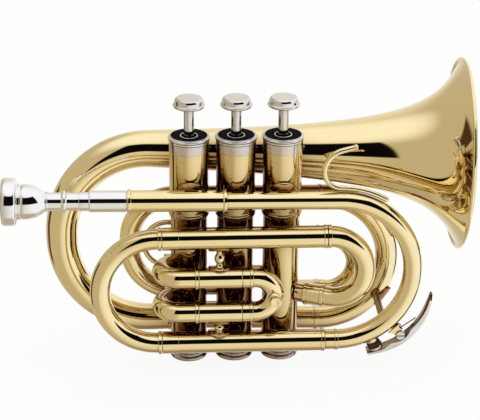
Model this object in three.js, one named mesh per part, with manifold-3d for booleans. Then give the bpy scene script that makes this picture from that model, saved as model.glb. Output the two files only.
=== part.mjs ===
// A pocket trumpet: three piston valves, a tightly coiled bell, four slides and a sprung water key.
// Millimetres, +Z up along the valves, +X towards the bell, +Y away from the player's right hand.
// The origin is the centre of the middle valve's bottom cap, on its flat underside.
import * as THREE from "three";
import { mergeVertices } from "three/addons/utils/BufferGeometryUtils.js";
import Module from "manifold-3d";

const wasm = await Module();
wasm.setup();

// General fits
const SEAT_GAP = 0.3;
const OVERRUN = 3;
const JOINT_LAP = 0.6;
const WELD = 1e-4;
const SIMPLIFY_MM = 0.01;

// Facets
const TUBE_SIDES = 10;
const TURNED_SIDES = 14;
const BEND_STEP_DEG = 22.5;
const ROD_SIDES = 6;
const SPRING_STEPS = 8;
const SPRING_SIDES = 5;

// Valve block
const VALVE_PITCH = 26.1;
const PISTON_R = 8.35;
const BORE_R = PISTON_R + SEAT_GAP;
const CASING_R = 10.3;
const CASING_TOP_R = 10.95;
const SHOULDER_Z = 88.4;
const SHOULDER_BEAD_R = 11.35;
const SHOULDER_BEAD_H = 2.4;
const SHOULDER_BEVEL = 0.7;
const BAND_R = 11.15;
const BAND_HEIGHT = 5.5;
const CASING_TOP_Z = 132.3;
const THREAD_R = 9.5;
const TOP_THREAD_R = 9.7;
const TOP_THREAD_DEPTH = 6.3;
const STROKE = 16;

// Bottom caps
const BOTTOM_CAP_R = 10.85;
const BOTTOM_CAP_HEIGHT = 10;
const BOTTOM_CAP_FLOOR = 2.6;
const BOTTOM_CAP_NECK_R = 10.0;
const BOTTOM_CAP_SKIRT_R = 10.6;
const BOTTOM_CAP_HEIGHT_SHARES = { bevel: 0.05, bead: 0.14, beadEnd: 0.22, neck: 0.32, skirt: 0.48 };

// Top caps, and the felt in the recess of each
const TOP_CAP_R = 11.83;
const TOP_CAP_HEIGHT = 3.0;
const TOP_CAP_GROOVE = 0.7;
const TOP_CAP_RIM_R = 10.6;
const TOP_CAP_RECESS_R = 10.2;
const TOP_CAP_RECESS = 1.6;
const TOP_CAP_LIP_R = 5.0;
const TOP_CAP_HOLE_R = 4.4;
const TOP_CAP_LIP_DROP = 0.1;
const SPIGOT_WALL = 1.0;
const TOP_CAP_HEIGHT_SHARES = { ring: 0.35, groove: 0.42, bead: 0.5, beadEnd: 0.8, shelf: 0.85 };

// Pistons, stems and finger buttons
const PISTON_BOTTOM_Z = 25;
const BARREL_FLOOR_Z = 90;
const PISTON_TOP_Z = 125.5;
const BARREL_WALL = 1.25;
const BARREL_PLATE = 2;
const PASSAGE_R = 4.6;
const PORT_R = 4.9;
const STEM_R = 2.9;
const STEM_FOOT_R = 3.9;
const STEM_FOOT_HEIGHT = 1.4;
const BUTTON_R = 8.95;
const BUTTON_HEIGHT = 5.6;
const PRESSED_CLEARANCE = 0.4;
// Radius as a share of the button's radius, then height as a share of its height
const BUTTON_OUTLINE_SHARES = [
  [0, 0], [0.88, 0], [0.95, 0.07], [1, 0.2], [1, 0.29], [0.96, 0.36],
  [0.9, 0.39], [0.9, 0.66], [0.84, 0.88], [0.78, 1], [0, 1],
];

// Valve guides and springs
const GUIDE_THICKNESS = 2.4;
const GUIDE_LIFT = 1.0;
const GUIDE_TAB_WIDTH = 4.2;
const GUIDE_TAB_REACH = 9.3;
const GUIDE_HOLE_R = 2;
const VALVE_SPRING_R = 5.6;
const VALVE_SPRING_WIRE_R = 0.5;
const VALVE_SPRING_TURNS = 4;

// Ports in the casings: height, and angle from +X towards +Y
const LINK_1_2_Z = 43.5;
const LINK_2_3_Z = 50;
const LINK_R = 5.4;
const FIRST_PORTS_Z = [57.5, 36.5];
const SECOND_PORTS_Z = [52, 35];
const THIRD_PORTS_Z = [66, 31.5];
const BELL_PORT_Z = 33.5;
const LEAD_PORT_Z = 40;
const LEAD_PORT_DEG = -20.8;

// Valve slides
const SLIDE_BEND_R = 5.8;
const SLIDE_BEND_WALL = 0.8;
const SLIDE_SLEEVE_R = 6.1;
const SLIDE_SLEEVE_WALL = 0.7;
const SLIDE_LEG_R = 5.0;
const SLIDE_LEG_WALL = 0.6;
const SLIDE_CROOK_R = 5.6;
const SLIDE_RING_R = 6.6;
const SLIDE_RING_LENGTH = 1.8;
const SLIDE_COLLAR_LENGTH = 4.1;
const FIRST_SLIDE_Y = -20;
const FIRST_SLEEVE_START_X = -23.4;
const FIRST_SLEEVE_END_X = 2.8;
const FIRST_CROOK_X = 10.4;
const FIRST_LEG_LENGTH = 22;
const SECOND_SLEEVE_END_Y = 24;
const SECOND_CROOK_RUN = 4;
const SECOND_LEG_LENGTH = 11.5;
const THIRD_SLIDE_Y = 16.5;
const THIRD_ELBOW_R = 7;
const THIRD_SLEEVE_END_X = 50;
const THIRD_CROOK_X = 54.2;
const THIRD_LEG_LENGTH = 14.5;
const KNOB_R = 3.4;
const KNOB_HEIGHT = 5.6;
const KNOB_OUTLINE_SHARES = [
  [1, 0], [1, 0.16], [0.8, 0.22], [0.65, 0.42], [0.82, 0.6], [0.88, 0.92], [0.75, 1],
];

// Leadpipe, its bow and the mouthpiece
const FRONT_Y = -18;
const RIM_X = -129.4;
const RIM_Z = 104.8;
const LEADPIPE_END_Z = 102.7;
const LEADPIPE_R = 4.8;
const LEADPIPE_BOW_END_R = 5.7;
const LEADPIPE_WALL = 0.8;
const LEADPIPE_BOW_X = 56.6;
const LEADPIPE_BOW_R = 42.6;
const MOUTHPIECE_LENGTH = 88;
const MOUTHPIECE_RIM_R = 13.3;
const MOUTHPIECE_SHANK_R = 5.15;
const MOUTHPIECE_SHANK_TIP_R = 4.8;
const MOUTHPIECE_VISIBLE = 68.3;
const MOUTHPIECE_THROAT_R = 1.9;
const MOUTHPIECE_TIP_WALL_SHARE = 0.25;
const MOUTHPIECE_THROAT_SHARES = [0.333, 0.2];
const RECEIVER_R = 6.0;
const RECEIVER_RING_R = 6.65;
const RECEIVER_RING_LENGTH = 2;
const RECEIVER_LENGTH = 54.9;
// Radius as a share of the rim's radius, then distance as a share of the length that shows
const MOUTHPIECE_OUTLINE_SHARES = [
  [0.79, 0], [0.95, 0.014], [1, 0.04], [1, 0.095], [0.92, 0.12], [0.745, 0.127], [0.745, 0.15],
  [0.69, 0.155], [0.72, 0.176], [0.65, 0.25], [0.5, 0.31], [0.38, 0.36], [0.38, 0.482],
  [0.43, 0.487], [0.46, 0.502], [0.43, 0.516], [0.368, 0.521], [0.368, 0.622], [0.39, 0.627],
  [0.39, 0.7], [0.447, 0.705], [0.44, 1],
];
const MOUTHPIECE_CUP_SHARES = [[0.32, 0.146], [0.55, 0.073], [0.617, 0.03], [0.647, 0.007]];

// Tuning slide and the two main tubes
const MAIN_UPPER_Z = 81;
const MAIN_LOWER_Z = 16.7;
const MAIN_TUBE_R = 6.25;
const MAIN_TUBE_WALL = 0.6;
const MAIN_SLEEVE_R = 6.45;
const MAIN_SLEEVE_LENGTH = 9.1;
const MAIN_RING_R = 6.85;
const MAIN_RING_LENGTH = 2;
const MAIN_LEFT_X = -41.8;
const MAIN_RIGHT_X = 50.3;
const TUNING_CROOK_R = 5.75;
const TUNING_LEG_R = 5.25;
const TUNING_LEG_LENGTH = 58;
const TUNING_CENTRE_X = -44.4;

// Bow from the upper main tube down to the third valve
const LEAD_BOW_R = 20.4;
const LEAD_BOW_APEX_X = 72.3;
const LEAD_BOW_START_R = 6.1;
const LEAD_BOW_END_R = 5.5;
const STUB_SLEEVE_START = 14.9;
const STUB_SLEEVE_END = 26.5;

// Bell: a horn that widens as an inverse power of the distance to a pole past its rim.
// Its axis leans: the tail stands higher and further back than the rim.
const BELL_DROP = 19.6;
const BELL_RIM_X = 130.1;
const BELL_RIM_Y = 25.2;
const BELL_START_X = -46.8;
const BELL_START_Y = 29.7;
const BELL_TAIL_RISE = 3.5;
const BELL_POLE_X = 144.3;
const BELL_THROAT_R = 10.65;
const BELL_POWER = 0.6224;
const BELL_WALL = 0.7;
const BELL_STEPS = 9;
const BELL_SIDES = 24;
const BELL_WIRE_R = 1.3;
const BELL_WIRE_STEPS = 5;

// Coil of the bell's tail: the bell bow's bends and reach are shares of its height
const BELL_BOW_UPPER_SHARE = 0.483;
const BELL_BOW_LOWER_SHARE = 0.488;
const BELL_BOW_APEX_SHARE = 0.4972;
const BELL_BOW_END_X = -35;
const BELL_BOW_END_R = 7.5;
const COIL_LEFT_Y = 22.5;
const COIL_LEFT_Z = 13.1;
const COIL_RIGHT_Y = 27;
const COIL_RIGHT_Z = 8.4;
const COIL_BOW_CENTRE_X = 52;
const COIL_BOW_DROP = 26.1;
const COIL_BOTTOM_R = 7.2;
const COIL_RIGHT_R = 6.6;
const COIL_LEFT_R = 5.8;
const COIL_WALL = 0.8;
const COIL_TOP_Y = 19;
const COIL_TOP_DROP = 21.4;
const COIL_TOP_END_X = -33.3;
const SMALL_BOW_Y = 18;
const SMALL_BOW_HEIGHT_SHARE = 0.45;
const BELL_PORT_BEND_R = 7;
const COIL_RING_LENGTH = 2.2;
const COIL_RING_RISE = 0.5;

// Braces
const BRACE_X = -9.7;
const BRACE_POST_R = 2.4;
const BRACE_WAIST_SHARE = 0.75;
const BRACE_WAIST_SHARES = [0.333, 0.667];
const SADDLE_R = 6.3;
const SADDLE_THICKNESS = 0.8;
const LEADPIPE_SADDLE_R = 8.4;
const LEADPIPE_POST_R = 3;
const BELL_BRACE_R = 3.5;
const BELL_BRACE_DROP = 2;
const COIL_BRACE_DEG = 33;
const COIL_BRACE_LEAN_DEG = 37;
const COIL_BRACE_DISC_R = 7.2;
const COIL_BRACE_R = 2.2;

// Finger hook and finger ring
const HOOK_ROD_R = 1.5;
const HOOK_WRAP_DEG = 33;
const HOOK_LEFT_X = 47.6;
const HOOK_FOOT_BEND_R = 9;
const HOOK_TOP_Z = 129.6;
const HOOK_TOP_BEND_R = 7;
const HOOK_TIP_X = 65.8;
const HOOK_TIP_RISE = 4.6;
const FINGER_RING_X = -37.8;
const FINGER_RING_Y = 12.4;
const FINGER_RING_LIFT = 2.1;
const FINGER_RING_R = 13.35;
const FINGER_RING_WIRE_R = 1.5;
const RING_FOOT_R = 2.4;

// Water key, in polar places about the centre of the leadpipe's bow, from straight down
const KEY_NIPPLE_DEG = 26;
const KEY_NIPPLE_R = 3.4;
const KEY_NIPPLE_BORE_R = 1.6;
const KEY_NIPPLE_RISE = 0.7;
const KEY_CORK_R = 3.9;
const KEY_CORK_THICKNESS = 2.6;
const KEY_CUP_R = 4.6;
const KEY_CUP_THICKNESS = 1.8;
const KEY_PIVOT_DEG = 43.4;
const KEY_PIVOT_RISE = 5.6;
const KEY_PIN_R = 0.8;
const KEY_PIN_REACH = 8.6;
const KEY_SCREW_R = 2.65;
const KEY_SCREW_THICKNESS = 1.3;
const KEY_SCREW_SLOT_WIDTH = 0.7;
const KEY_SCREW_SLOT_DEPTH = 0.5;
const KEY_CHEEK_WIDTH = 4.8;
const KEY_CHEEK_THICKNESS = 1.1;
const KEY_CHEEK_GAP = 4.6;
const KEY_CHEEK_TOP = 1.5;
const KEY_LUG_R = 1.9;
const KEY_LEVER_WIDTH = 8.5;
const KEY_LEVER_THICKNESS = 1.5;
const KEY_LEVER_SWELL = 1.1;
const KEY_LEVER_BULGE = 2.6;
const KEY_LEVER_TIP_RISE = 2.35;
const KEY_LEVER_START_DEG = 20;
const KEY_LEVER_END_DEG = 75;
const KEY_LEVER_STEPS = 8;
const KEY_LEVER_TIP_SHARE = 0.67;
const KEY_SPRING_R = 2;
const KEY_SPRING_WIRE_R = 0.35;
const KEY_SPRING_TURNS = 3.25;
const KEY_SPRING_PITCH = 1.25;
const KEY_SPRING_ARM_LENGTH = 12;
const KEY_SPRING_ARM_DROP = 1;
const KEY_SPRING_ARM_END_SHARE = 0.38;

// Finishes
const lacqueredBrass = new THREE.MeshStandardMaterial({ color: 0xd9b45a, roughness: 0.12, metalness: 1 });
const nickel = new THREE.MeshStandardMaterial({ color: 0xc9c3bd, roughness: 0.16, metalness: 1 });
const silver = new THREE.MeshStandardMaterial({ color: 0xe6e6ea, roughness: 0.1, metalness: 1 });
const monel = new THREE.MeshStandardMaterial({ color: 0xa9a59d, roughness: 0.25, metalness: 1 });
const springSteel = new THREE.MeshStandardMaterial({ color: 0x8d8d8d, roughness: 0.3, metalness: 1 });
const blackFelt = new THREE.MeshStandardMaterial({ color: 0x0b0a0c, roughness: 0.95, metalness: 0 });
const cork = new THREE.MeshStandardMaterial({ color: 0x4a3020, roughness: 0.9, metalness: 0 });
const guidePlastic = new THREE.MeshStandardMaterial({ color: 0xe8e6de, roughness: 0.5, metalness: 0 });

const X_AXIS = new THREE.Vector3(1, 0, 0);
const Y_AXIS = new THREE.Vector3(0, 1, 0);
const Z_AXIS = new THREE.Vector3(0, 0, 1);
const point = (x, y, z) => new THREE.Vector3(x, y, z);
const radians = THREE.MathUtils.degToRad;

// Turns a closed geometry into a solid whose faces point outwards.
function solidOf(geometry) {
  const bare = new THREE.BufferGeometry().setAttribute("position", geometry.getAttribute("position"));
  if (geometry.index) bare.setIndex(geometry.index);
  const merged = mergeVertices(bare, WELD);
  const corners = merged.index.array;
  const faces = [];
  for (let i = 0; i < corners.length; i += 3) {
    const [a, b, c] = corners.slice(i, i + 3);
    if (a !== b && b !== c && c !== a) faces.push([a, b, c]);
  }
  const build = (triangles) =>
    new wasm.Manifold(
      new wasm.Mesh({
        numProp: 3,
        vertProperties: merged.attributes.position.array,
        triVerts: new Uint32Array(triangles.flat()),
      }),
    );
  const solid = build(faces);
  return solid.volume() < 0 ? build(faces.map(([a, b, c]) => [a, c, b])) : solid;
}

// Makes a named mesh of a solid, without corners that lie in line.
function piece(name, solid, material) {
  const { numProp, vertProperties, triVerts } = solid.simplify(SIMPLIFY_MM).getMesh();
  const places = new Float32Array((vertProperties.length / numProp) * 3);
  for (let i = 0; i < places.length / 3; i++)
    places.set(vertProperties.subarray(i * numProp, i * numProp + 3), i * 3);
  const geometry = new THREE.BufferGeometry();
  geometry.setAttribute("position", new THREE.BufferAttribute(places, 3));
  geometry.setIndex(new THREE.BufferAttribute(new Uint32Array(triVerts), 1));
  geometry.computeVertexNormals();
  const mesh = new THREE.Mesh(geometry, material);
  mesh.name = name;
  return mesh;
}

const joined = (solids) => solids.reduce((whole, solid) => whole.add(solid));
const cutBy = (solid, cutters) => cutters.reduce((rest, cutter) => rest.subtract(cutter), solid);

// Revolves an outline of [radius, distance] pairs about a line from a point along a direction.
function turned(outline, from = point(0, 0, 0), along = Z_AXIS, sides = TURNED_SIDES) {
  const profile = outline.map(([r, d]) => new THREE.Vector2(r, d));
  const onAxis = profile[0].x === 0 && profile.at(-1).x === 0;
  if (!onAxis) profile.push(profile[0].clone());
  const geometry = new THREE.LatheGeometry(profile, sides);
  geometry.applyQuaternion(new THREE.Quaternion().setFromUnitVectors(Y_AXIS, along));
  geometry.translate(from.x, from.y, from.z);
  return solidOf(geometry);
}

const rod = (r, from, to, sides = TURNED_SIDES) => {
  const length = from.distanceTo(to);
  return turned([[0, 0], [r, 0], [r, length], [0, length]], from, to.clone().sub(from).normalize(), sides);
};

function block(from, to) {
  const size = to.clone().sub(from);
  const middle = from.clone().add(to).multiplyScalar(0.5);
  return solidOf(new THREE.BoxGeometry(size.x, size.y, size.z).translate(middle.x, middle.y, middle.z));
}

// Stations of a tube that runs straight between points and turns each inner corner with its own radius.
function route(corners, bendRadii, stepDeg = BEND_STEP_DEG) {
  const stations = [];
  const add = (at, along) => {
    if (!stations.length || stations.at(-1).at.distanceTo(at) > WELD) stations.push({ at, along });
  };
  const heading = (i) => corners[i + 1].clone().sub(corners[i]).normalize();
  add(corners[0], heading(0));
  for (let i = 1; i < corners.length - 1; i++) {
    const before = heading(i - 1);
    const after = heading(i);
    const turn = before.angleTo(after);
    const radius = bendRadii[i - 1];
    const start = corners[i].clone().addScaledVector(before, -radius * Math.tan(turn / 2));
    const inward = after.clone().addScaledVector(before, -after.dot(before)).normalize();
    const steps = Math.ceil(THREE.MathUtils.radToDeg(turn) / stepDeg);
    for (let k = 0; k <= steps; k++) {
      const angle = (turn * k) / steps;
      const at = start
        .clone()
        .addScaledVector(before, radius * Math.sin(angle))
        .addScaledVector(inward, radius * (1 - Math.cos(angle)));
      const along = before.clone().multiplyScalar(Math.cos(angle)).addScaledVector(inward, Math.sin(angle));
      add(at, along);
    }
  }
  add(corners.at(-1), heading(corners.length - 2));
  return stations;
}

// Sweeps a round section along stations. The outer radius runs evenly from start to end; wall 0 makes a rod.
function pipe(stations, startR, endR = startR, wall = 0, sides = TUBE_SIDES) {
  const lengths = [0];
  for (let i = 1; i < stations.length; i++)
    lengths.push(lengths[i - 1] + stations[i].at.distanceTo(stations[i - 1].at));
  const normal = new THREE.Vector3().crossVectors(stations[0].along, Z_AXIS);
  if (normal.lengthSq() < WELD) normal.copy(Y_AXIS);
  normal.normalize();
  const outer = [];
  const inner = [];
  stations.forEach(({ at, along }, i) => {
    const turn = new THREE.Quaternion();
    if (i > 0) turn.setFromUnitVectors(stations[i - 1].along, along);
    normal.applyQuaternion(turn);
    const side = new THREE.Vector3().crossVectors(along, normal);
    const radius = startR + (endR - startR) * (lengths[i] / lengths.at(-1));
    const circle = (r) =>
      Array.from({ length: sides }, (_, k) => {
        const angle = (2 * Math.PI * k) / sides;
        return at
          .clone()
          .addScaledVector(normal, r * Math.cos(angle))
          .addScaledVector(side, r * Math.sin(angle));
      });
    outer.push(circle(radius));
    inner.push(circle(radius - wall));
  });
  const rings = wall ? [...outer, ...inner.reverse()] : outer;
  const places = rings.flat();
  const index = [];
  const closed = wall > 0;
  const spans = closed ? rings.length : rings.length - 1;
  for (let i = 0; i < spans; i++)
    for (let k = 0; k < sides; k++) {
      const a = i * sides + k;
      const b = i * sides + ((k + 1) % sides);
      const c = ((i + 1) % rings.length) * sides + k;
      const d = ((i + 1) % rings.length) * sides + ((k + 1) % sides);
      index.push(a, b, d, a, d, c);
    }
  if (!closed)
    [0, rings.length - 1].forEach((end) => {
      const centre = places.push(stations[end].at) - 1;
      for (let k = 0; k < sides; k++) {
        const a = end * sides + k;
        const b = end * sides + ((k + 1) % sides);
        if (end) index.push(centre, a, b);
        else index.push(centre, b, a);
      }
    });
  const geometry = new THREE.BufferGeometry().setFromPoints(places);
  geometry.setIndex(index);
  return solidOf(geometry);
}

// A straight hollow tube between two points, with facets that line up with those of the bends
function ring(outer, inner, from, to, sides = TUBE_SIDES) {
  const along = to.clone().sub(from).normalize();
  return pipe([{ at: from, along }, { at: to, along }], outer, outer, outer - inner, sides);
}

// A straight solid with facets that line up with those of a ring
function bar(r, from, to, sides = TUBE_SIDES) {
  const along = to.clone().sub(from).normalize();
  return pipe([{ at: from, along }, { at: to, along }], r, r, 0, sides);
}

// The least clear distance between the turns of a wire, measured on its centre points.
function leastGap(stations, wireR, stepsPerTurn) {
  let least = Infinity;
  for (let i = 0; i < stations.length; i++)
    for (let j = i + Math.floor(stepsPerTurn / 2) + 1; j < stations.length; j++)
      least = Math.min(least, stations[i].at.distanceTo(stations[j].at));
  return least - 2 * wireR;
}

const byPoints = (points) =>
  points.map((at, i) => ({
    at,
    along: points[Math.min(i + 1, points.length - 1)]
      .clone()
      .sub(points[Math.max(i - 1, 0)])
      .normalize(),
  }));

// Valve places, and a cylinder that clears a casing for what seats against it
const VALVE_X = [-VALVE_PITCH, 0, VALVE_PITCH];
const CAP_BASE_Z = CASING_TOP_Z + SEAT_GAP;
const FELT_TOP_Z = CAP_BASE_Z + TOP_CAP_HEIGHT - TOP_CAP_LIP_DROP;
const BUTTON_BOTTOM_Z = FELT_TOP_Z + STROKE + PRESSED_CLEARANCE;
const casingClearance = (x, r = CASING_R) =>
  rod(r + SEAT_GAP, point(x, 0, -OVERRUN), point(x, 0, CASING_TOP_Z + OVERRUN));
const bearing = (deg, r, z) => point(r * Math.cos(radians(deg)), r * Math.sin(radians(deg)), z);

// A casing: threaded foot, lower tube, shoulder bead, wider upper tube and plated band
function casingShell() {
  const foot = BOTTOM_CAP_FLOOR + SEAT_GAP;
  const shoulder = SHOULDER_Z + SHOULDER_BEAD_H;
  return turned([
    [0, foot],
    [THREAD_R, foot],
    [THREAD_R, BOTTOM_CAP_HEIGHT + SEAT_GAP],
    [CASING_R, BOTTOM_CAP_HEIGHT + SEAT_GAP],
    [CASING_R, SHOULDER_Z - SHOULDER_BEVEL],
    [SHOULDER_BEAD_R, SHOULDER_Z],
    [SHOULDER_BEAD_R, shoulder],
    [CASING_TOP_R, shoulder + SHOULDER_BEVEL],
    [CASING_TOP_R, CASING_TOP_Z - BAND_HEIGHT],
    [BAND_R, CASING_TOP_Z - BAND_HEIGHT],
    [BAND_R, CASING_TOP_Z],
    [0, CASING_TOP_Z],
  ]);
}

const GUIDE_Z = BARREL_FLOOR_Z + GUIDE_LIFT;

// What is cut from every casing: the piston's bore, the cap's thread and the guide's two keyways
function casingBore() {
  const keyHalf = GUIDE_TAB_WIDTH / 2 + SEAT_GAP;
  const keyReach = GUIDE_TAB_REACH + SEAT_GAP;
  return joined([
    rod(BORE_R, point(0, 0, -OVERRUN), point(0, 0, CASING_TOP_Z + OVERRUN)),
    rod(TOP_THREAD_R, point(0, 0, CASING_TOP_Z - TOP_THREAD_DEPTH), point(0, 0, CASING_TOP_Z + OVERRUN)),
    block(point(-keyHalf, -keyReach, GUIDE_Z - SEAT_GAP), point(keyHalf, keyReach, CASING_TOP_Z)),
  ]);
}

// Each valve's ports, in its own frame: where the wind enters and leaves, and its slide's two tubes
const VALVE_PORTS = [
  { enter: [0, LINK_1_2_Z], leave: [90, BELL_PORT_Z], slide: FIRST_PORTS_Z.map((z) => [180, z]) },
  { enter: [0, LINK_2_3_Z], leave: [180, LINK_1_2_Z], slide: SECOND_PORTS_Z.map((z) => [90, z]) },
  { enter: [LEAD_PORT_DEG, LEAD_PORT_Z], leave: [180, LINK_2_3_Z], slide: THIRD_PORTS_Z.map((z) => [90, z]) },
];

const portHoles = ({ enter, leave, slide }) =>
  [enter, leave, ...slide].map(([deg, z]) =>
    rod(PORT_R, point(0, 0, z), bearing(deg, CASING_R + OVERRUN, z), TUBE_SIDES),
  );

// A sleeve of a valve slide with a ring at its mouth, from start to end
function slideSleeve(from, to) {
  const along = to.clone().sub(from).normalize();
  const mouth = to.clone().addScaledVector(along, -SLIDE_RING_LENGTH);
  const inner = SLIDE_SLEEVE_R - SLIDE_SLEEVE_WALL;
  return joined([
    ring(SLIDE_SLEEVE_R, inner, from, to),
    ring(SLIDE_RING_R, inner + JOINT_LAP / 2, mouth, to),
  ]);
}

// The second valve's casing carries the links to its neighbours and its slide's two sleeves.
function secondValveTubing() {
  const reach = VALVE_PITCH - CASING_R - SEAT_GAP;
  const links = [
    ring(LINK_R, PORT_R, point(0, 0, LINK_2_3_Z), point(reach, 0, LINK_2_3_Z)),
    ring(LINK_R, PORT_R, point(0, 0, LINK_1_2_Z), point(-reach, 0, LINK_1_2_Z)),
  ];
  const trimmed = joined(links)
    .subtract(casingClearance(VALVE_PITCH))
    .subtract(casingClearance(-VALVE_PITCH));
  const sleeves = SECOND_PORTS_Z.map((z) =>
    slideSleeve(point(0, CASING_R - JOINT_LAP, z), point(0, SECOND_SLEEVE_END_Y, z)),
  );
  return joined([trimmed, ...sleeves]);
}

// The third valve's slide leaves its back and turns along +X.
function thirdValveTubing() {
  const sleeveStart = THIRD_ELBOW_R + JOINT_LAP;
  const sleeveEnd = THIRD_SLEEVE_END_X - VALVE_PITCH;
  return joined(
    THIRD_PORTS_Z.flatMap((z) => {
      const corners = [
        point(0, BORE_R, z),
        point(0, THIRD_SLIDE_Y, z),
        point(sleeveStart + JOINT_LAP, THIRD_SLIDE_Y, z),
      ];
      return [
        pipe(route(corners, [THIRD_ELBOW_R]), SLIDE_BEND_R, SLIDE_BEND_R, SLIDE_BEND_WALL),
        slideSleeve(point(sleeveStart, THIRD_SLIDE_Y, z), point(sleeveEnd, THIRD_SLIDE_Y, z)),
      ];
    }),
  );
}

function topCap() {
  const z = (share) => CAP_BASE_Z + TOP_CAP_HEIGHT * share;
  const top = z(1);
  const floor = top - TOP_CAP_RECESS;
  const spigotR = TOP_THREAD_R - SEAT_GAP;
  const spigotBottom = CASING_TOP_Z - TOP_THREAD_DEPTH + SEAT_GAP;
  const h = TOP_CAP_HEIGHT_SHARES;
  return turned([
    [TOP_CAP_HOLE_R, CAP_BASE_Z],
    [spigotR - SPIGOT_WALL, CAP_BASE_Z],
    [spigotR - SPIGOT_WALL, spigotBottom],
    [spigotR, spigotBottom],
    [spigotR, CAP_BASE_Z],
    [TOP_CAP_R - TOP_CAP_GROOVE / 2, CAP_BASE_Z],
    [TOP_CAP_R - TOP_CAP_GROOVE / 2, z(h.ring)],
    [TOP_CAP_R - TOP_CAP_GROOVE, z(h.groove)],
    [TOP_CAP_R, z(h.bead)],
    [TOP_CAP_R, z(h.beadEnd)],
    [TOP_CAP_RIM_R, z(h.shelf)],
    [TOP_CAP_RIM_R, top],
    [TOP_CAP_RECESS_R, top],
    [TOP_CAP_RECESS_R, floor],
    [TOP_CAP_LIP_R, floor],
    [TOP_CAP_LIP_R, FELT_TOP_Z],
    [TOP_CAP_HOLE_R, FELT_TOP_Z],
  ]);
}

function capFelt() {
  const floor = CAP_BASE_Z + TOP_CAP_HEIGHT - TOP_CAP_RECESS + SEAT_GAP;
  const inner = TOP_CAP_LIP_R + SEAT_GAP;
  const outer = TOP_CAP_RECESS_R - SEAT_GAP;
  return turned([[inner, floor], [outer, floor], [outer, FELT_TOP_Z], [inner, FELT_TOP_Z]]);
}

function bottomCap() {
  const z = (share) => BOTTOM_CAP_HEIGHT * share;
  const h = BOTTOM_CAP_HEIGHT_SHARES;
  const inner = THREAD_R + SEAT_GAP;
  return turned([
    [0, 0],
    [BOTTOM_CAP_NECK_R - SEAT_GAP, 0],
    [(BOTTOM_CAP_R + BOTTOM_CAP_NECK_R) / 2, z(h.bevel)],
    [BOTTOM_CAP_R, z(h.bead)],
    [BOTTOM_CAP_R, z(h.beadEnd)],
    [BOTTOM_CAP_NECK_R, z(h.neck)],
    [BOTTOM_CAP_SKIRT_R, z(h.skirt)],
    [BOTTOM_CAP_SKIRT_R, BOTTOM_CAP_HEIGHT],
    [inner, BOTTOM_CAP_HEIGHT],
    [inner, BOTTOM_CAP_FLOOR],
    [0, BOTTOM_CAP_FLOOR],
  ]);
}

// A piston: solid body with its slanting wind passages, and a windowed spring barrel above
function piston({ enter, leave, slide }) {
  const body = rod(PISTON_R, point(0, 0, PISTON_BOTTOM_Z), point(0, 0, PISTON_TOP_Z));
  const cavity = rod(
    PISTON_R - BARREL_WALL,
    point(0, 0, BARREL_FLOOR_Z),
    point(0, 0, PISTON_TOP_Z - BARREL_PLATE),
  );
  const halfWindow = GUIDE_TAB_WIDTH / 2 + SEAT_GAP;
  const windowTop = GUIDE_Z + GUIDE_THICKNESS + STROKE + PRESSED_CLEARANCE;
  const windows = block(
    point(-halfWindow, -PISTON_R - OVERRUN, BARREL_FLOOR_Z),
    point(halfWindow, PISTON_R + OVERRUN, windowTop),
  );
  const passage = ([fromDeg, fromZ], [toDeg, toZ], lift) => {
    const from = bearing(fromDeg, PISTON_R, fromZ + lift);
    const to = bearing(toDeg, PISTON_R, toZ + lift);
    const along = to.clone().sub(from).normalize();
    return rod(
      PASSAGE_R,
      from.addScaledVector(along, -OVERRUN),
      to.addScaledVector(along, OVERRUN),
      TUBE_SIDES,
    );
  };
  return cutBy(body, [
    cavity,
    windows,
    passage(enter, leave, 0),
    passage(enter, slide[0], STROKE),
    passage(slide[1], leave, STROKE),
  ]);
}

function valveStem() {
  const bottom = PISTON_TOP_Z + SEAT_GAP;
  const top = BUTTON_BOTTOM_Z - SEAT_GAP;
  return turned([
    [0, bottom],
    [STEM_FOOT_R, bottom],
    [STEM_FOOT_R, bottom + STEM_FOOT_HEIGHT],
    [STEM_R, bottom + STEM_FOOT_HEIGHT],
    [STEM_R, top],
    [0, top],
  ]);
}

const fingerButton = () =>
  turned(BUTTON_OUTLINE_SHARES.map(([r, h]) => [r * BUTTON_R, BUTTON_BOTTOM_Z + h * BUTTON_HEIGHT]));

function valveGuide() {
  const top = GUIDE_Z + GUIDE_THICKNESS;
  const disc = rod(PISTON_R - BARREL_WALL - SEAT_GAP, point(0, 0, GUIDE_Z), point(0, 0, top));
  const half = GUIDE_TAB_WIDTH / 2;
  const tabs = block(point(-half, -GUIDE_TAB_REACH, GUIDE_Z), point(half, GUIDE_TAB_REACH, top));
  const hole = rod(GUIDE_HOLE_R, point(0, 0, GUIDE_Z - OVERRUN), point(0, 0, top + OVERRUN));
  return disc.add(tabs).subtract(hole);
}

function valveSpring() {
  const bottom = GUIDE_Z + GUIDE_THICKNESS + SEAT_GAP + VALVE_SPRING_WIRE_R;
  const top = PISTON_TOP_Z - BARREL_PLATE - SEAT_GAP - VALVE_SPRING_WIRE_R;
  const count = VALVE_SPRING_TURNS * SPRING_STEPS;
  const coil = byPoints(
    Array.from({ length: count + 1 }, (_, i) =>
      bearing((360 * i) / SPRING_STEPS, VALVE_SPRING_R, bottom + ((top - bottom) * i) / count),
    ),
  );
  const gap = leastGap(coil, VALVE_SPRING_WIRE_R, SPRING_STEPS);
  console.log("valve spring, least gap " + gap.toFixed(2) + " mm");
  return pipe(coil, VALVE_SPRING_WIRE_R, VALVE_SPRING_WIRE_R, 0, SPRING_SIDES);
}

const CASING_TUBING = [null, secondValveTubing, thirdValveTubing];
const SPRING_OF_A_VALVE = valveSpring();

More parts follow.
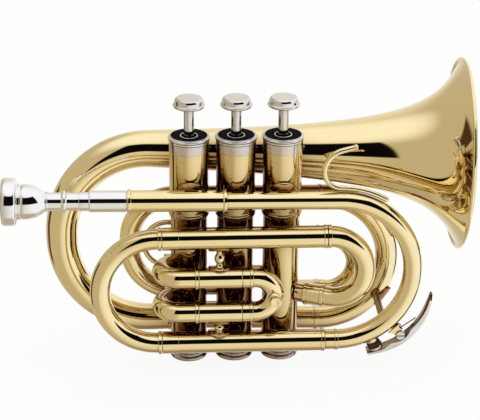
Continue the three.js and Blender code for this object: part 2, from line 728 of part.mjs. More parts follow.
// One valve with all its pieces, in a group that stands on the valve's axis
function valve(number) {
  const ports = VALVE_PORTS[number - 1];
  const tubing = CASING_TUBING[number - 1];
  const shell = tubing ? casingShell().add(tubing()) : casingShell();
  const group = new THREE.Group();
  group.position.x = VALVE_X[number - 1];
  group.add(
    piece("valve_casing_" + number, cutBy(shell, [casingBore(), ...portHoles(ports)]), lacqueredBrass),
    piece("top_cap_" + number, topCap(), nickel),
    piece("cap_felt_" + number, capFelt(), blackFelt),
    piece("bottom_cap_" + number, bottomCap(), nickel),
    piece("piston_" + number, piston(ports), monel),
    piece("valve_stem_" + number, valveStem(), nickel),
    piece("finger_button_" + number, fingerButton(), nickel),
    piece("valve_guide_" + number, valveGuide(), guidePlastic),
    piece("valve_spring_" + number, SPRING_OF_A_VALVE, springSteel),
  );
  return group;
}

// Pull knob with its foot at the origin of a line
const pullKnob = (from, along) =>
  turned(
    [[0, 0], ...KNOB_OUTLINE_SHARES.map(([r, h]) => [r * KNOB_R, h * KNOB_HEIGHT]), [0, KNOB_HEIGHT]],
    from,
    along,
    TUBE_SIDES,
  );

// A valve slide's moving crook: two inner legs, a collar and ring on each, and a half turn.
// Its mouth is where the sleeves end; out points from the sleeves to the crook.
function slideCrook(mouths, out, straight, legLength) {
  const radius = mouths[0].distanceTo(mouths[1]) / 2;
  const shifted = (p, d) => p.clone().addScaledVector(out, d);
  const corners = [
    mouths[0],
    shifted(mouths[0], straight + radius),
    shifted(mouths[1], straight + radius),
    mouths[1],
  ];
  const legInner = SLIDE_LEG_R - SLIDE_LEG_WALL;
  const bow = pipe(route(corners, [radius, radius]), SLIDE_CROOK_R, SLIDE_CROOK_R, SLIDE_CROOK_R - legInner);
  const collarLength = Math.min(SLIDE_COLLAR_LENGTH, straight);
  const fittings = mouths.flatMap((mouth) => {
    const ringFrom = shifted(mouth, Math.max(straight - SLIDE_RING_LENGTH, 0));
    return [
      ring(SLIDE_LEG_R, legInner, shifted(mouth, -legLength), shifted(mouth, JOINT_LAP)),
      ring(SLIDE_SLEEVE_R, SLIDE_LEG_R, mouth, shifted(mouth, collarLength)),
      ring(SLIDE_RING_R, SLIDE_LEG_R, ringFrom, shifted(mouth, straight)),
    ];
  });
  return joined([bow, ...fittings]);
}

// First valve's slide: half turns out of the casing's left side to the front, then sleeves along +X
function firstSlideTube(z) {
  const bendR = -FIRST_SLIDE_Y / 2;
  const apexX = VALVE_X[0] - CASING_R - bendR / 2;
  const corners = [
    point(VALVE_X[0], 0, z),
    point(apexX, 0, z),
    point(apexX, FIRST_SLIDE_Y, z),
    point(FIRST_SLEEVE_START_X + JOINT_LAP, FIRST_SLIDE_Y, z),
  ];
  const bend = pipe(route(corners, [bendR, bendR]), SLIDE_BEND_R, SLIDE_BEND_R, SLIDE_BEND_WALL);
  const sleeveFrom = point(FIRST_SLEEVE_START_X, FIRST_SLIDE_Y, z);
  const ringTo = sleeveFrom.clone().setX(FIRST_SLEEVE_START_X + SLIDE_RING_LENGTH);
  const inner = SLIDE_SLEEVE_R - SLIDE_SLEEVE_WALL;
  return joined([
    bend.subtract(casingClearance(VALVE_X[0])),
    ring(SLIDE_SLEEVE_R, inner, sleeveFrom, point(FIRST_SLEEVE_END_X, FIRST_SLIDE_Y, z)),
    ring(SLIDE_RING_R, inner + JOINT_LAP / 2, sleeveFrom, ringTo),
  ]);
}

function firstSlide() {
  const mouths = FIRST_PORTS_Z.map((z) => point(FIRST_SLEEVE_END_X + SEAT_GAP, FIRST_SLIDE_Y, z));
  const straight = FIRST_CROOK_X - mouths[0].x;
  const radius = (FIRST_PORTS_Z[0] - FIRST_PORTS_Z[1]) / 2;
  const knobY = FIRST_SLIDE_Y - SLIDE_CROOK_R - SEAT_GAP;
  const apex = point(FIRST_CROOK_X + radius, knobY, FIRST_PORTS_Z[1] + radius);
  return [
    piece("first_slide_upper_tube", firstSlideTube(FIRST_PORTS_Z[0]), lacqueredBrass),
    piece("first_slide_lower_tube", firstSlideTube(FIRST_PORTS_Z[1]), lacqueredBrass),
    piece("first_slide_crook", slideCrook(mouths, X_AXIS, straight, FIRST_LEG_LENGTH), lacqueredBrass),
    piece("first_slide_knob", pullKnob(apex, Y_AXIS.clone().negate()), lacqueredBrass),
  ];
}

function secondSlide() {
  const mouths = SECOND_PORTS_Z.map((z) => point(0, SECOND_SLEEVE_END_Y + SEAT_GAP, z));
  const radius = (SECOND_PORTS_Z[0] - SECOND_PORTS_Z[1]) / 2;
  const apexY = mouths[0].y + SECOND_CROOK_RUN + radius + SLIDE_CROOK_R + SEAT_GAP;
  const apex = point(0, apexY, SECOND_PORTS_Z[1] + radius);
  const crook = slideCrook(mouths, Y_AXIS, SECOND_CROOK_RUN, SECOND_LEG_LENGTH);
  return [
    piece("second_slide_crook", crook, lacqueredBrass),
    piece("second_slide_knob", pullKnob(apex, Y_AXIS), lacqueredBrass),
  ];
}

function thirdSlide() {
  const mouths = THIRD_PORTS_Z.map((z) => point(THIRD_SLEEVE_END_X + SEAT_GAP, THIRD_SLIDE_Y, z));
  const straight = THIRD_CROOK_X - mouths[0].x;
  const radius = (THIRD_PORTS_Z[0] - THIRD_PORTS_Z[1]) / 2;
  const knobY = THIRD_SLIDE_Y - SLIDE_CROOK_R - SEAT_GAP;
  const apex = point(THIRD_CROOK_X + radius, knobY, THIRD_PORTS_Z[1] + radius);
  return [
    piece("third_slide_crook", slideCrook(mouths, X_AXIS, straight, THIRD_LEG_LENGTH), lacqueredBrass),
    piece("third_slide_knob", pullKnob(apex, Y_AXIS.clone().negate()), lacqueredBrass),
  ];
}

// The leadpipe's line, from the mouthpiece's rim to the start of its bow
const RIM = point(RIM_X, FRONT_Y, RIM_Z);
const LEAD_ALONG = point(LEADPIPE_BOW_X, FRONT_Y, LEADPIPE_END_Z).sub(RIM).normalize();
const onLead = (distance) => RIM.clone().addScaledVector(LEAD_ALONG, distance);
const RECEIVER_START = MOUTHPIECE_VISIBLE + SEAT_GAP;
const RECEIVER_END = RECEIVER_START + RECEIVER_LENGTH;
const LEADPIPE_START = MOUTHPIECE_LENGTH + 2 * SEAT_GAP;

function mouthpiece() {
  const scaled = ([r, d]) => [r * MOUTHPIECE_RIM_R, d * MOUTHPIECE_VISIBLE];
  const tipWall = (MOUTHPIECE_SHANK_TIP_R - MOUTHPIECE_THROAT_R) * MOUTHPIECE_TIP_WALL_SHARE;
  return turned(
    [
      ...MOUTHPIECE_OUTLINE_SHARES.map(scaled),
      [MOUTHPIECE_SHANK_R, MOUTHPIECE_VISIBLE],
      [MOUTHPIECE_SHANK_TIP_R, MOUTHPIECE_LENGTH],
      [MOUTHPIECE_SHANK_TIP_R - tipWall, MOUTHPIECE_LENGTH],
      ...MOUTHPIECE_THROAT_SHARES.map((share) => [MOUTHPIECE_THROAT_R, MOUTHPIECE_LENGTH * share]),
      ...MOUTHPIECE_CUP_SHARES.map(scaled),
    ],
    RIM,
    LEAD_ALONG,
  );
}

function mouthpieceReceiver() {
  const shankDepth = MOUTHPIECE_LENGTH - MOUTHPIECE_VISIBLE;
  const shankBore = MOUTHPIECE_SHANK_R + SEAT_GAP;
  const pipeBore = LEADPIPE_R + 2 * SEAT_GAP;
  return turned(
    [
      [shankBore, 0],
      [RECEIVER_RING_R, 0],
      [RECEIVER_RING_R, RECEIVER_RING_LENGTH],
      [RECEIVER_R, RECEIVER_RING_LENGTH],
      [RECEIVER_R, RECEIVER_LENGTH - RECEIVER_RING_LENGTH],
      [RECEIVER_RING_R, RECEIVER_LENGTH - RECEIVER_RING_LENGTH],
      [RECEIVER_RING_R, RECEIVER_LENGTH],
      [pipeBore, RECEIVER_LENGTH],
      [pipeBore, shankDepth],
    ],
    onLead(RECEIVER_START),
    LEAD_ALONG,
  );
}

const receiverClearance = () => rod(RECEIVER_R + SEAT_GAP, onLead(RECEIVER_START), onLead(RECEIVER_END));

const BOW_CENTRE = point(LEADPIPE_BOW_X, FRONT_Y, MAIN_LOWER_Z + LEADPIPE_BOW_R);
const bowPolar = (deg, r, y = 0) => point(r * Math.sin(radians(deg)), y, -r * Math.cos(radians(deg)));
const KEY_TUBE_R = LEADPIPE_BOW_END_R - SEAT_GAP / 2;
const KEY_BED_R = LEADPIPE_BOW_R + KEY_TUBE_R;
const KEY_SEAT_R = KEY_BED_R + KEY_NIPPLE_RISE;

const LEAD_STATIONS = route(
  [
    onLead(LEADPIPE_START),
    onLead((LEADPIPE_BOW_X + LEADPIPE_BOW_R - RIM_X) / LEAD_ALONG.x),
    point(LEADPIPE_BOW_X + LEADPIPE_BOW_R, FRONT_Y, MAIN_LOWER_Z),
    point(MAIN_RIGHT_X + SEAT_GAP, FRONT_Y, MAIN_LOWER_Z),
  ],
  [LEADPIPE_BOW_R, LEADPIPE_BOW_R],
);
const leadpipeClearance = () =>
  pipe(LEAD_STATIONS, LEADPIPE_R + SEAT_GAP, LEADPIPE_BOW_END_R + SEAT_GAP);

// The leadpipe runs out of the receiver, turns back in one bow and ends at the lower main tube.
function leadpipe() {
  const tube = pipe(LEAD_STATIONS, LEADPIPE_R, LEADPIPE_BOW_END_R, LEADPIPE_WALL);
  const outward = bowPolar(KEY_NIPPLE_DEG, 1);
  const from = (r) => BOW_CENTRE.clone().addScaledVector(outward, r);
  const nipple = rod(KEY_NIPPLE_R, from(LEADPIPE_BOW_R + KEY_TUBE_R / 2), from(KEY_SEAT_R), TUBE_SIDES);
  const drain = rod(KEY_NIPPLE_BORE_R, from(LEADPIPE_BOW_R), from(KEY_SEAT_R + OVERRUN), TUBE_SIDES);
  const wind = pipe(LEAD_STATIONS, LEADPIPE_R - LEADPIPE_WALL, LEADPIPE_BOW_END_R - LEADPIPE_WALL);
  return tube.add(nipple.subtract(wind)).subtract(drain);
}

// One of the two main tubes, with the sleeve and rings at its ends
function mainTube(z) {
  const bore = MAIN_TUBE_R - MAIN_TUBE_WALL;
  const lap = bore + JOINT_LAP / 2;
  const at = (x) => point(x, FRONT_Y, z);
  return joined([
    ring(MAIN_TUBE_R, bore, at(MAIN_LEFT_X), at(MAIN_RIGHT_X)),
    ring(MAIN_SLEEVE_R, lap, at(MAIN_LEFT_X), at(MAIN_LEFT_X + MAIN_SLEEVE_LENGTH)),
    ring(MAIN_RING_R, lap, at(MAIN_RIGHT_X - MAIN_RING_LENGTH), at(MAIN_RIGHT_X)),
  ]);
}

function tuningSlide() {
  const radius = (MAIN_UPPER_Z - MAIN_LOWER_Z) / 2;
  const mouthX = MAIN_LEFT_X - SEAT_GAP;
  const apexX = TUNING_CENTRE_X - radius;
  const at = (x, z) => point(x, FRONT_Y, z);
  const corners = [
    at(mouthX, MAIN_UPPER_Z),
    at(apexX, MAIN_UPPER_Z),
    at(apexX, MAIN_LOWER_Z),
    at(mouthX, MAIN_LOWER_Z),
  ];
  const legInner = TUNING_LEG_R - SLIDE_LEG_WALL;
  const wall = TUNING_CROOK_R - legInner;
  const crook = pipe(route(corners, [radius, radius]), TUNING_CROOK_R, TUNING_CROOK_R, wall);
  const fittings = [MAIN_UPPER_Z, MAIN_LOWER_Z].flatMap((z) => [
    ring(MAIN_RING_R, legInner + JOINT_LAP / 2, at(mouthX - MAIN_RING_LENGTH, z), at(mouthX, z)),
    ring(TUNING_LEG_R, legInner, at(mouthX - JOINT_LAP, z), at(mouthX + TUNING_LEG_LENGTH, z)),
  ]);
  return joined([crook, ...fittings]);
}

// The bow from the upper main tube to the third valve, with the sleeve on its stub
function valveThreeBow() {
  const valveAxis = point(VALVE_X[2], 0, LEAD_PORT_Z);
  const onStub = (distance) => valveAxis.clone().add(bearing(LEAD_PORT_DEG, distance, 0));
  const apexReach = (LEAD_BOW_APEX_X - VALVE_X[2]) / Math.cos(radians(LEAD_PORT_DEG));
  const corners = [
    point(MAIN_RIGHT_X + SEAT_GAP, FRONT_Y, MAIN_UPPER_Z),
    point(LEAD_BOW_APEX_X, FRONT_Y, MAIN_UPPER_Z),
    onStub(apexReach),
    onStub(BORE_R),
  ];
  const wall = LEAD_BOW_END_R - PORT_R + SEAT_GAP;
  const bow = pipe(route(corners, [LEAD_BOW_R, LEAD_BOW_R]), LEAD_BOW_START_R, LEAD_BOW_END_R, wall);
  const sleeveR = (LEAD_BOW_START_R + MAIN_TUBE_R) / 2;
  return joined([
    bow.subtract(casingClearance(VALVE_X[2])),
    ring(sleeveR, PORT_R, onStub(STUB_SLEEVE_START), onStub(STUB_SLEEVE_END)),
    ring(SLIDE_RING_R, PORT_R, onStub(STUB_SLEEVE_START), onStub(STUB_SLEEVE_START + SLIDE_RING_LENGTH)),
    ring(SLIDE_RING_R, PORT_R, onStub(STUB_SLEEVE_END - SLIDE_RING_LENGTH), onStub(STUB_SLEEVE_END)),
  ]);
}

// The bell's axis, from the bell bow to the rim
const BELL_Z = CASING_TOP_Z - BELL_DROP;
const BELL_START = point(BELL_START_X, BELL_START_Y, BELL_Z + BELL_TAIL_RISE);
const BELL_ALONG = point(BELL_RIM_X, BELL_RIM_Y, BELL_Z).sub(BELL_START).normalize();
const bellDistance = (x) => (x - BELL_START_X) / BELL_ALONG.x;
const onBell = (x) => BELL_START.clone().addScaledVector(BELL_ALONG, bellDistance(x));

// The bell's outer radius at a place along X
const bellRadius = (x) =>
  BELL_THROAT_R * ((BELL_POLE_X - BELL_START_X) / (BELL_POLE_X - x)) ** BELL_POWER;

// Places along the bell, closer together where it flares
const bellStations = () =>
  Array.from({ length: BELL_STEPS + 1 }, (_, i) => {
    const start = BELL_POLE_X - BELL_START_X;
    const end = BELL_POLE_X - BELL_RIM_X;
    return BELL_POLE_X - start * (end / start) ** (i / BELL_STEPS);
  });

// The bell: flared wall with a wire rolled into its rim
function bell() {
  const places = bellStations();
  const outer = places.map((x) => [bellRadius(x), bellDistance(x)]);
  const inner = places.map((x) => [bellRadius(x) - BELL_WALL, bellDistance(x)]).reverse();
  const rimR = bellRadius(BELL_RIM_X);
  const rimAt = bellDistance(BELL_RIM_X);
  const wire = Array.from({ length: BELL_WIRE_STEPS }, (_, i) => {
    const angle = (2 * Math.PI * i) / BELL_WIRE_STEPS;
    return [rimR + BELL_WIRE_R * Math.cos(angle), rimAt + BELL_WIRE_R * Math.sin(angle)];
  });
  return joined([
    turned([...outer, ...inner], BELL_START, BELL_ALONG, BELL_SIDES),
    turned(wire, BELL_START, BELL_ALONG, BELL_SIDES),
  ]);
}

// A ring round the end of a coil tube
const coilRing = (tubeR, from, to) => ring(tubeR + COIL_RING_RISE, tubeR - COIL_WALL / 2, from, to);

const COIL_TOP_Z = BELL_Z - COIL_TOP_DROP;
const COIL_BOW_R = (BELL_Z - COIL_BOW_DROP - COIL_RIGHT_Z) / 2;
const COIL_LEFT = point(BELL_BOW_END_X, COIL_LEFT_Y, COIL_LEFT_Z);
const COIL_RIGHT = point(COIL_BOW_CENTRE_X, COIL_RIGHT_Y, COIL_RIGHT_Z);
const COIL_TOP_RIGHT = point(COIL_BOW_CENTRE_X, COIL_RIGHT_Y, COIL_RIGHT_Z + 2 * COIL_BOW_R);
const COIL_TOP_LEFT = point(COIL_TOP_END_X, COIL_TOP_Y, COIL_TOP_Z);

function bellBow() {
  const height = BELL_START.z - COIL_LEFT_Z;
  const apexX = BELL_START_X - height * BELL_BOW_APEX_SHARE;
  const corners = [
    onBell(BELL_START_X - SEAT_GAP),
    onBell(apexX),
    point(apexX, COIL_LEFT_Y, COIL_LEFT_Z),
    COIL_LEFT,
  ];
  const line = route(corners, [height * BELL_BOW_UPPER_SHARE, height * BELL_BOW_LOWER_SHARE]);
  const tube = pipe(line, BELL_THROAT_R, BELL_BOW_END_R, COIL_WALL);
  const ringFrom = COIL_LEFT.clone().setX(COIL_LEFT.x - COIL_RING_LENGTH);
  return tube.add(coilRing(BELL_BOW_END_R, ringFrom, COIL_LEFT));
}

// A nearly straight coil tube, whose ends are square to the X axis like its neighbours'
const coilTube = (from, to, along, startR, endR) =>
  pipe([{ at: from, along }, { at: to, along }], startR, endR, COIL_WALL);

const coilBottomTube = () =>
  coilTube(COIL_LEFT.clone().setX(COIL_LEFT.x + SEAT_GAP), COIL_RIGHT, X_AXIS, COIL_BOTTOM_R, COIL_RIGHT_R);

const RIGHT_BOW_STATIONS = route(
  [
    COIL_RIGHT.clone().setX(COIL_BOW_CENTRE_X + SEAT_GAP),
    COIL_RIGHT.clone().setX(COIL_BOW_CENTRE_X + COIL_BOW_R),
    COIL_TOP_RIGHT.clone().setX(COIL_BOW_CENTRE_X + COIL_BOW_R),
    COIL_TOP_RIGHT.clone().setX(COIL_BOW_CENTRE_X + SEAT_GAP),
  ],
  [COIL_BOW_R - SEAT_GAP, COIL_BOW_R - SEAT_GAP],
);
const coilRightBow = () => pipe(RIGHT_BOW_STATIONS, COIL_RIGHT_R, COIL_RIGHT_R, COIL_WALL);

const coilTopTube = () =>
  coilTube(
    COIL_TOP_RIGHT,
    COIL_TOP_LEFT.clone().setX(COIL_TOP_LEFT.x + SEAT_GAP),
    X_AXIS.clone().negate(),
    COIL_RIGHT_R,
    COIL_LEFT_R,
  );

// The small left bow, with the elbow that enters the back of the first valve
function coilLeftBow() {
  const radius = (COIL_TOP_Z - BELL_PORT_Z) * SMALL_BOW_HEIGHT_SHARE;
  const apexX = COIL_TOP_END_X - radius;
  const corners = [
    COIL_TOP_LEFT,
    COIL_TOP_LEFT.clone().setX(apexX),
    point(apexX, SMALL_BOW_Y, BELL_PORT_Z),
    point(VALVE_X[0], SMALL_BOW_Y, BELL_PORT_Z),
    point(VALVE_X[0], BORE_R, BELL_PORT_Z),
  ];
  const stations = route(corners, [radius, radius, BELL_PORT_BEND_R]);
  return pipe(stations, COIL_LEFT_R, COIL_LEFT_R, COIL_WALL).subtract(casingClearance(VALVE_X[0]));
}

// A leaf of metal that hugs a tube, seen as a disc from the direction of facing
function saddle(tubeFrom, tubeTo, tubeR, centre, facing, discR, sides = TUBE_SIDES) {
  const shell = ring(tubeR + SEAT_GAP + SADDLE_THICKNESS, tubeR + SEAT_GAP, tubeFrom, tubeTo, sides);
  const reach = tubeR + SEAT_GAP + SADDLE_THICKNESS + OVERRUN;
  const disc = rod(discR, centre, centre.clone().addScaledVector(facing, reach));
  return shell.intersect(disc);
}

// A waisted post with a saddle at each end, between two tubes that lie one over the other along X
function slideBrace(lower, upper) {
  const onTube = (tube, shift) => point(BRACE_X + shift, tube.y, tube.z);
  const ends = (tube) => [onTube(tube, -2 * SADDLE_R), onTube(tube, 2 * SADDLE_R)];
  const leaf = (tube, facing) => saddle(...ends(tube), tube.r, onTube(tube, 0), facing, SADDLE_R);
  const bottom = onTube(lower, 0);
  const top = onTube(upper, 0);
  const length = bottom.distanceTo(top);
  const along = top.clone().sub(bottom).normalize();
  const low = lower.r + SEAT_GAP + SADDLE_THICKNESS / 2;
  const high = length - upper.r - SEAT_GAP - SADDLE_THICKNESS / 2;
  const waist = BRACE_POST_R * BRACE_WAIST_SHARE;
  const [waistLow, waistHigh] = BRACE_WAIST_SHARES.map((share) => low + (high - low) * share);
  const outline = [
    [0, low],
    [waist, low],
    [waist, waistLow],
    [BRACE_POST_R, (low + high) / 2],
    [waist, waistHigh],
    [waist, high],
    [0, high],
  ];
  const post = turned(outline, bottom, along, TUBE_SIDES);
  const whole = joined([leaf(lower, Z_AXIS), post, leaf(upper, Z_AXIS.clone().negate())]);
  return cutBy(whole, [bar(lower.r + SEAT_GAP, ...ends(lower)), bar(upper.r + SEAT_GAP, ...ends(upper))]);
}

// The disc and short post that hold the leadpipe to a casing
function leadpipeBrace(valveX, clearance) {
  const distance = (valveX - RIM_X) / LEAD_ALONG.x;
  const onPipe = onLead(distance);
  const centre = point(valveX, 0, onPipe.z);
  const forward = Y_AXIS.clone().negate();
  const reach = 2 * LEADPIPE_SADDLE_R;
  const leaf = saddle(
    centre.clone().setZ(centre.z - reach),
    centre.clone().setZ(centre.z + reach),
    CASING_TOP_R,
    centre,
    forward,
    LEADPIPE_SADDLE_R,
    TURNED_SIDES,
  );
  const postFrom = point(valveX, -CASING_TOP_R - SEAT_GAP - SADDLE_THICKNESS / 2, onPipe.z);
  const post = rod(LEADPIPE_POST_R, postFrom, onPipe, TUBE_SIDES);
  return leaf.add(post).subtract(clearance);
}

// The short post between the middle casing and the bell's throat
function bellBrace() {
  const bellAxis = onBell(0);
  const z = bellAxis.z - BELL_BRACE_DROP;
  const post = rod(BELL_BRACE_R, point(0, CASING_R, z), point(0, bellAxis.y, z), TUBE_SIDES);
  const bellR = bellRadius(OVERRUN) + SEAT_GAP;
  const bellClearance = rod(bellR, onBell(-BELL_THROAT_R), onBell(BELL_THROAT_R), BELL_SIDES);
  return cutBy(post, [casingClearance(0, CASING_TOP_R), bellClearance]);
}

// The disc on the coil's right bow, and its post forward to the leadpipe's bow
function coilBrace() {
  const outward = bearing(-COIL_BRACE_DEG, 1, 0).applyAxisAngle(X_AXIS, Math.PI / 2);
  const facing = outward.clone().applyAxisAngle(
    outward.clone().cross(Y_AXIS).normalize(),
    -radians(COIL_BRACE_LEAN_DEG),
  );
  const centre = COIL_RIGHT.clone()
    .setZ(COIL_RIGHT_Z + COIL_BOW_R)
    .addScaledVector(outward, COIL_BOW_R);
  const leafR = COIL_RIGHT_R + SEAT_GAP + SADDLE_THICKNESS;
  const disc = rod(COIL_BRACE_DISC_R, centre, centre.clone().addScaledVector(facing, leafR + OVERRUN));
  const leaf = pipe(RIGHT_BOW_STATIONS, leafR).intersect(disc);
  const towards = centre.clone().setY(FRONT_Y).sub(BOW_CENTRE).normalize();
  const front = BOW_CENTRE.clone().addScaledVector(towards, LEADPIPE_BOW_R);
  const post = rod(COIL_BRACE_R, centre, front, TUBE_SIDES);
  const coilClearance = pipe(RIGHT_BOW_STATIONS, COIL_RIGHT_R + SEAT_GAP);
  const parts = cutBy(leaf.add(post), [leadpipeClearance(), coilClearance]).decompose();
  return parts.reduce((largest, part) => (part.volume() > largest.volume() ? part : largest));
}

// The hook lies along the top of the leadpipe's bow, then curls up and over for the little finger.
function fingerHook() {
  const tubeR = (LEADPIPE_R + LEADPIPE_BOW_END_R) / 2;
  const lift = tubeR + HOOK_ROD_R + 2 * SEAT_GAP;
  const wrapR = LEADPIPE_BOW_R + lift;
  const wrap = radians(HOOK_WRAP_DEG);
  const baseZ = LEADPIPE_END_Z + lift;
  const at = (x, z) => point(x, FRONT_Y, z);
  const corners = [
    at(LEADPIPE_BOW_X + wrapR * Math.sin(wrap), baseZ - wrapR * (1 - Math.cos(wrap))),
    at(LEADPIPE_BOW_X + wrapR * Math.tan(wrap / 2), baseZ),
    at(HOOK_LEFT_X, baseZ),
    at(HOOK_LEFT_X, HOOK_TOP_Z),
    at(HOOK_TIP_X, HOOK_TOP_Z + HOOK_TIP_RISE),
  ];
  const line = route(corners, [wrapR, HOOK_FOOT_BEND_R, HOOK_TOP_BEND_R], BEND_STEP_DEG / 2);
  return pipe(line, HOOK_ROD_R, HOOK_ROD_R, 0, ROD_SIDES);
}

function fingerRing() {
  const z = (COIL_TOP_Z + BELL_PORT_Z) / 2 + FINGER_RING_LIFT;
  const hoop = new THREE.TorusGeometry(FINGER_RING_R, FINGER_RING_WIRE_R, ROD_SIDES, BELL_SIDES)
    .rotateX(Math.PI / 2)
    .translate(FINGER_RING_X, FINGER_RING_Y, z);
  const footX = FINGER_RING_X + FINGER_RING_R;
  const footFrom = point(footX, CASING_R - OVERRUN, z);
  const foot = rod(RING_FOOT_R, footFrom, point(footX, FINGER_RING_Y, z), TUBE_SIDES);
  return solidOf(hoop).add(foot.subtract(casingClearance(VALVE_X[0])));
}

// Water key: saddle with cheeks and pin on the bow, lever with cup and cork, and a torsion spring
const PIVOT_R = KEY_BED_R + KEY_PIVOT_RISE;
const CORK_INNER_R = KEY_SEAT_R + SEAT_GAP;
const CUP_INNER_R = CORK_INNER_R + KEY_CORK_THICKNESS + SEAT_GAP;
const LEVER_INNER_R = CUP_INNER_R + KEY_CUP_THICKNESS - JOINT_LAP;

// A block whose middle line points outwards from the bow's centre at an angle
function radialBlock(deg, innerR, outerR, width, fromY, toY) {
  const geometry = new THREE.BoxGeometry(width, toY - fromY, outerR - innerR);
  geometry.translate(0, (fromY + toY) / 2, -(innerR + outerR) / 2);
  geometry.applyQuaternion(new THREE.Quaternion().setFromAxisAngle(Y_AXIS, -radians(deg)));
  return solidOf(geometry);
}

const onPivot = (y) => bowPolar(KEY_PIVOT_DEG, PIVOT_R, y);

// The pin's head is a slotted screw at the front, and the spring sits on its back end.
function keySaddle() {
  const inner = KEY_CHEEK_GAP / 2;
  const outer = inner + KEY_CHEEK_THICKNESS;
  const bottom = KEY_BED_R - JOINT_LAP;
  const top = PIVOT_R + KEY_CHEEK_TOP;
  const plateTop = KEY_BED_R + SADDLE_THICKNESS + SEAT_GAP;
  const cheeks = [
    radialBlock(KEY_PIVOT_DEG, bottom, top, KEY_CHEEK_WIDTH, inner, outer),
    radialBlock(KEY_PIVOT_DEG, bottom, top, KEY_CHEEK_WIDTH, -outer, -inner),
    radialBlock(KEY_PIVOT_DEG, bottom, plateTop, KEY_CHEEK_WIDTH, -outer, outer),
  ];
  const pin = rod(KEY_PIN_R, onPivot(-outer), onPivot(KEY_PIN_REACH), ROD_SIDES);
  const headFront = -outer - KEY_SCREW_THICKNESS;
  const head = rod(KEY_SCREW_R, onPivot(JOINT_LAP - outer), onPivot(headFront), TUBE_SIDES);
  const slot = radialBlock(
    KEY_PIVOT_DEG,
    PIVOT_R - 2 * KEY_SCREW_R,
    PIVOT_R + 2 * KEY_SCREW_R,
    KEY_SCREW_SLOT_WIDTH,
    headFront - OVERRUN,
    headFront + KEY_SCREW_SLOT_DEPTH,
  );
  const { x, y, z } = BOW_CENTRE;
  return joined([...cheeks, pin, head.subtract(slot)]).subtract(leadpipeClearance().translate([-x, -y, -z]));
}

function keyLever() {
  const span = KEY_LEVER_END_DEG - KEY_LEVER_START_DEG;
  const rho = (u) => LEVER_INNER_R + KEY_LEVER_TIP_RISE * u + KEY_LEVER_BULGE * Math.sin(Math.PI * u);
  const edge = (u, lift) => {
    const place = bowPolar(KEY_LEVER_START_DEG + span * u, rho(u) + lift);
    return new THREE.Vector2(place.x, place.z);
  };
  const steps = Array.from({ length: KEY_LEVER_STEPS + 1 }, (_, i) => i / KEY_LEVER_STEPS);
  const thickness = (u) =>
    KEY_LEVER_THICKNESS * (1 - (1 - KEY_LEVER_TIP_SHARE) * u) + KEY_LEVER_SWELL * Math.sin(Math.PI * u);
  const outline = [...steps.map((u) => edge(u, 0)), ...steps.toReversed().map((u) => edge(u, thickness(u)))];
  const blade = new THREE.ExtrudeGeometry(new THREE.Shape(outline), {
    depth: KEY_LEVER_WIDTH,
    bevelEnabled: false,
  });
  blade.rotateX(Math.PI / 2).translate(0, KEY_LEVER_WIDTH / 2, 0);
  const cupFrom = bowPolar(KEY_NIPPLE_DEG, CUP_INNER_R);
  const cup = rod(KEY_CUP_R, cupFrom, bowPolar(KEY_NIPPLE_DEG, CUP_INNER_R + KEY_CUP_THICKNESS), TUBE_SIDES);
  const half = KEY_CHEEK_GAP / 2 - SEAT_GAP;
  const lug = rod(KEY_LUG_R, onPivot(-half), onPivot(half), TUBE_SIDES);
  const webTop = rho((KEY_PIVOT_DEG - KEY_LEVER_START_DEG) / span) + KEY_LEVER_THICKNESS / 2;
  const web = radialBlock(KEY_PIVOT_DEG, PIVOT_R, webTop, KEY_LUG_R, -half, half);
  const eye = rod(KEY_PIN_R + SEAT_GAP, onPivot(-OVERRUN), onPivot(OVERRUN), TUBE_SIDES);
  return joined([solidOf(blade), cup, lug, web]).subtract(eye);
}

function keyCork() {
  const inner = bowPolar(KEY_NIPPLE_DEG, CORK_INNER_R);
  const outer = bowPolar(KEY_NIPPLE_DEG, CORK_INNER_R + KEY_CORK_THICKNESS);
  return rod(KEY_CORK_R, inner, outer, TUBE_SIDES);
}

// Turns round the pin: one arm stands on the bow, the other runs out under the lever.
function keySpring() {
  const firstY = KEY_CHEEK_GAP / 2 + KEY_CHEEK_THICKNESS + SEAT_GAP + KEY_SPRING_WIRE_R;
  const centre = onPivot(0);
  const count = Math.round(KEY_SPRING_TURNS * SPRING_STEPS);
  const turns = Array.from({ length: count + 1 }, (_, i) => {
    const angle = radians(KEY_PIVOT_DEG) + Math.PI + (2 * Math.PI * i) / SPRING_STEPS;
    return point(
      centre.x + KEY_SPRING_R * Math.cos(angle),
      firstY + (KEY_SPRING_PITCH * i) / SPRING_STEPS,
      centre.z + KEY_SPRING_R * Math.sin(angle),
    );
  });
  const outward = bowPolar(KEY_PIVOT_DEG, 1);
  const tangent = point(-outward.z, 0, outward.x);
  const bedDrop = KEY_TUBE_R - Math.sqrt(Math.max(KEY_TUBE_R ** 2 - firstY ** 2, 0));
  const foot = KEY_PIVOT_RISE + bedDrop - SEAT_GAP - KEY_SPRING_WIRE_R;
  const bowArm = turns[0].clone().addScaledVector(outward, -foot);
  const leverArm = turns
    .at(-1)
    .clone()
    .addScaledVector(tangent, KEY_SPRING_ARM_LENGTH)
    .addScaledVector(outward, -KEY_SPRING_ARM_DROP);
  leverArm.y = KEY_LEVER_WIDTH * KEY_SPRING_ARM_END_SHARE;
  const gap = leastGap(byPoints(turns), KEY_SPRING_WIRE_R, SPRING_STEPS);
  console.log("water key spring, least gap " + gap.toFixed(2) + " mm");
  return pipe(byPoints([bowArm, ...turns, leverArm]), KEY_SPRING_WIRE_R, KEY_SPRING_WIRE_R, 0, SPRING_SIDES);
}

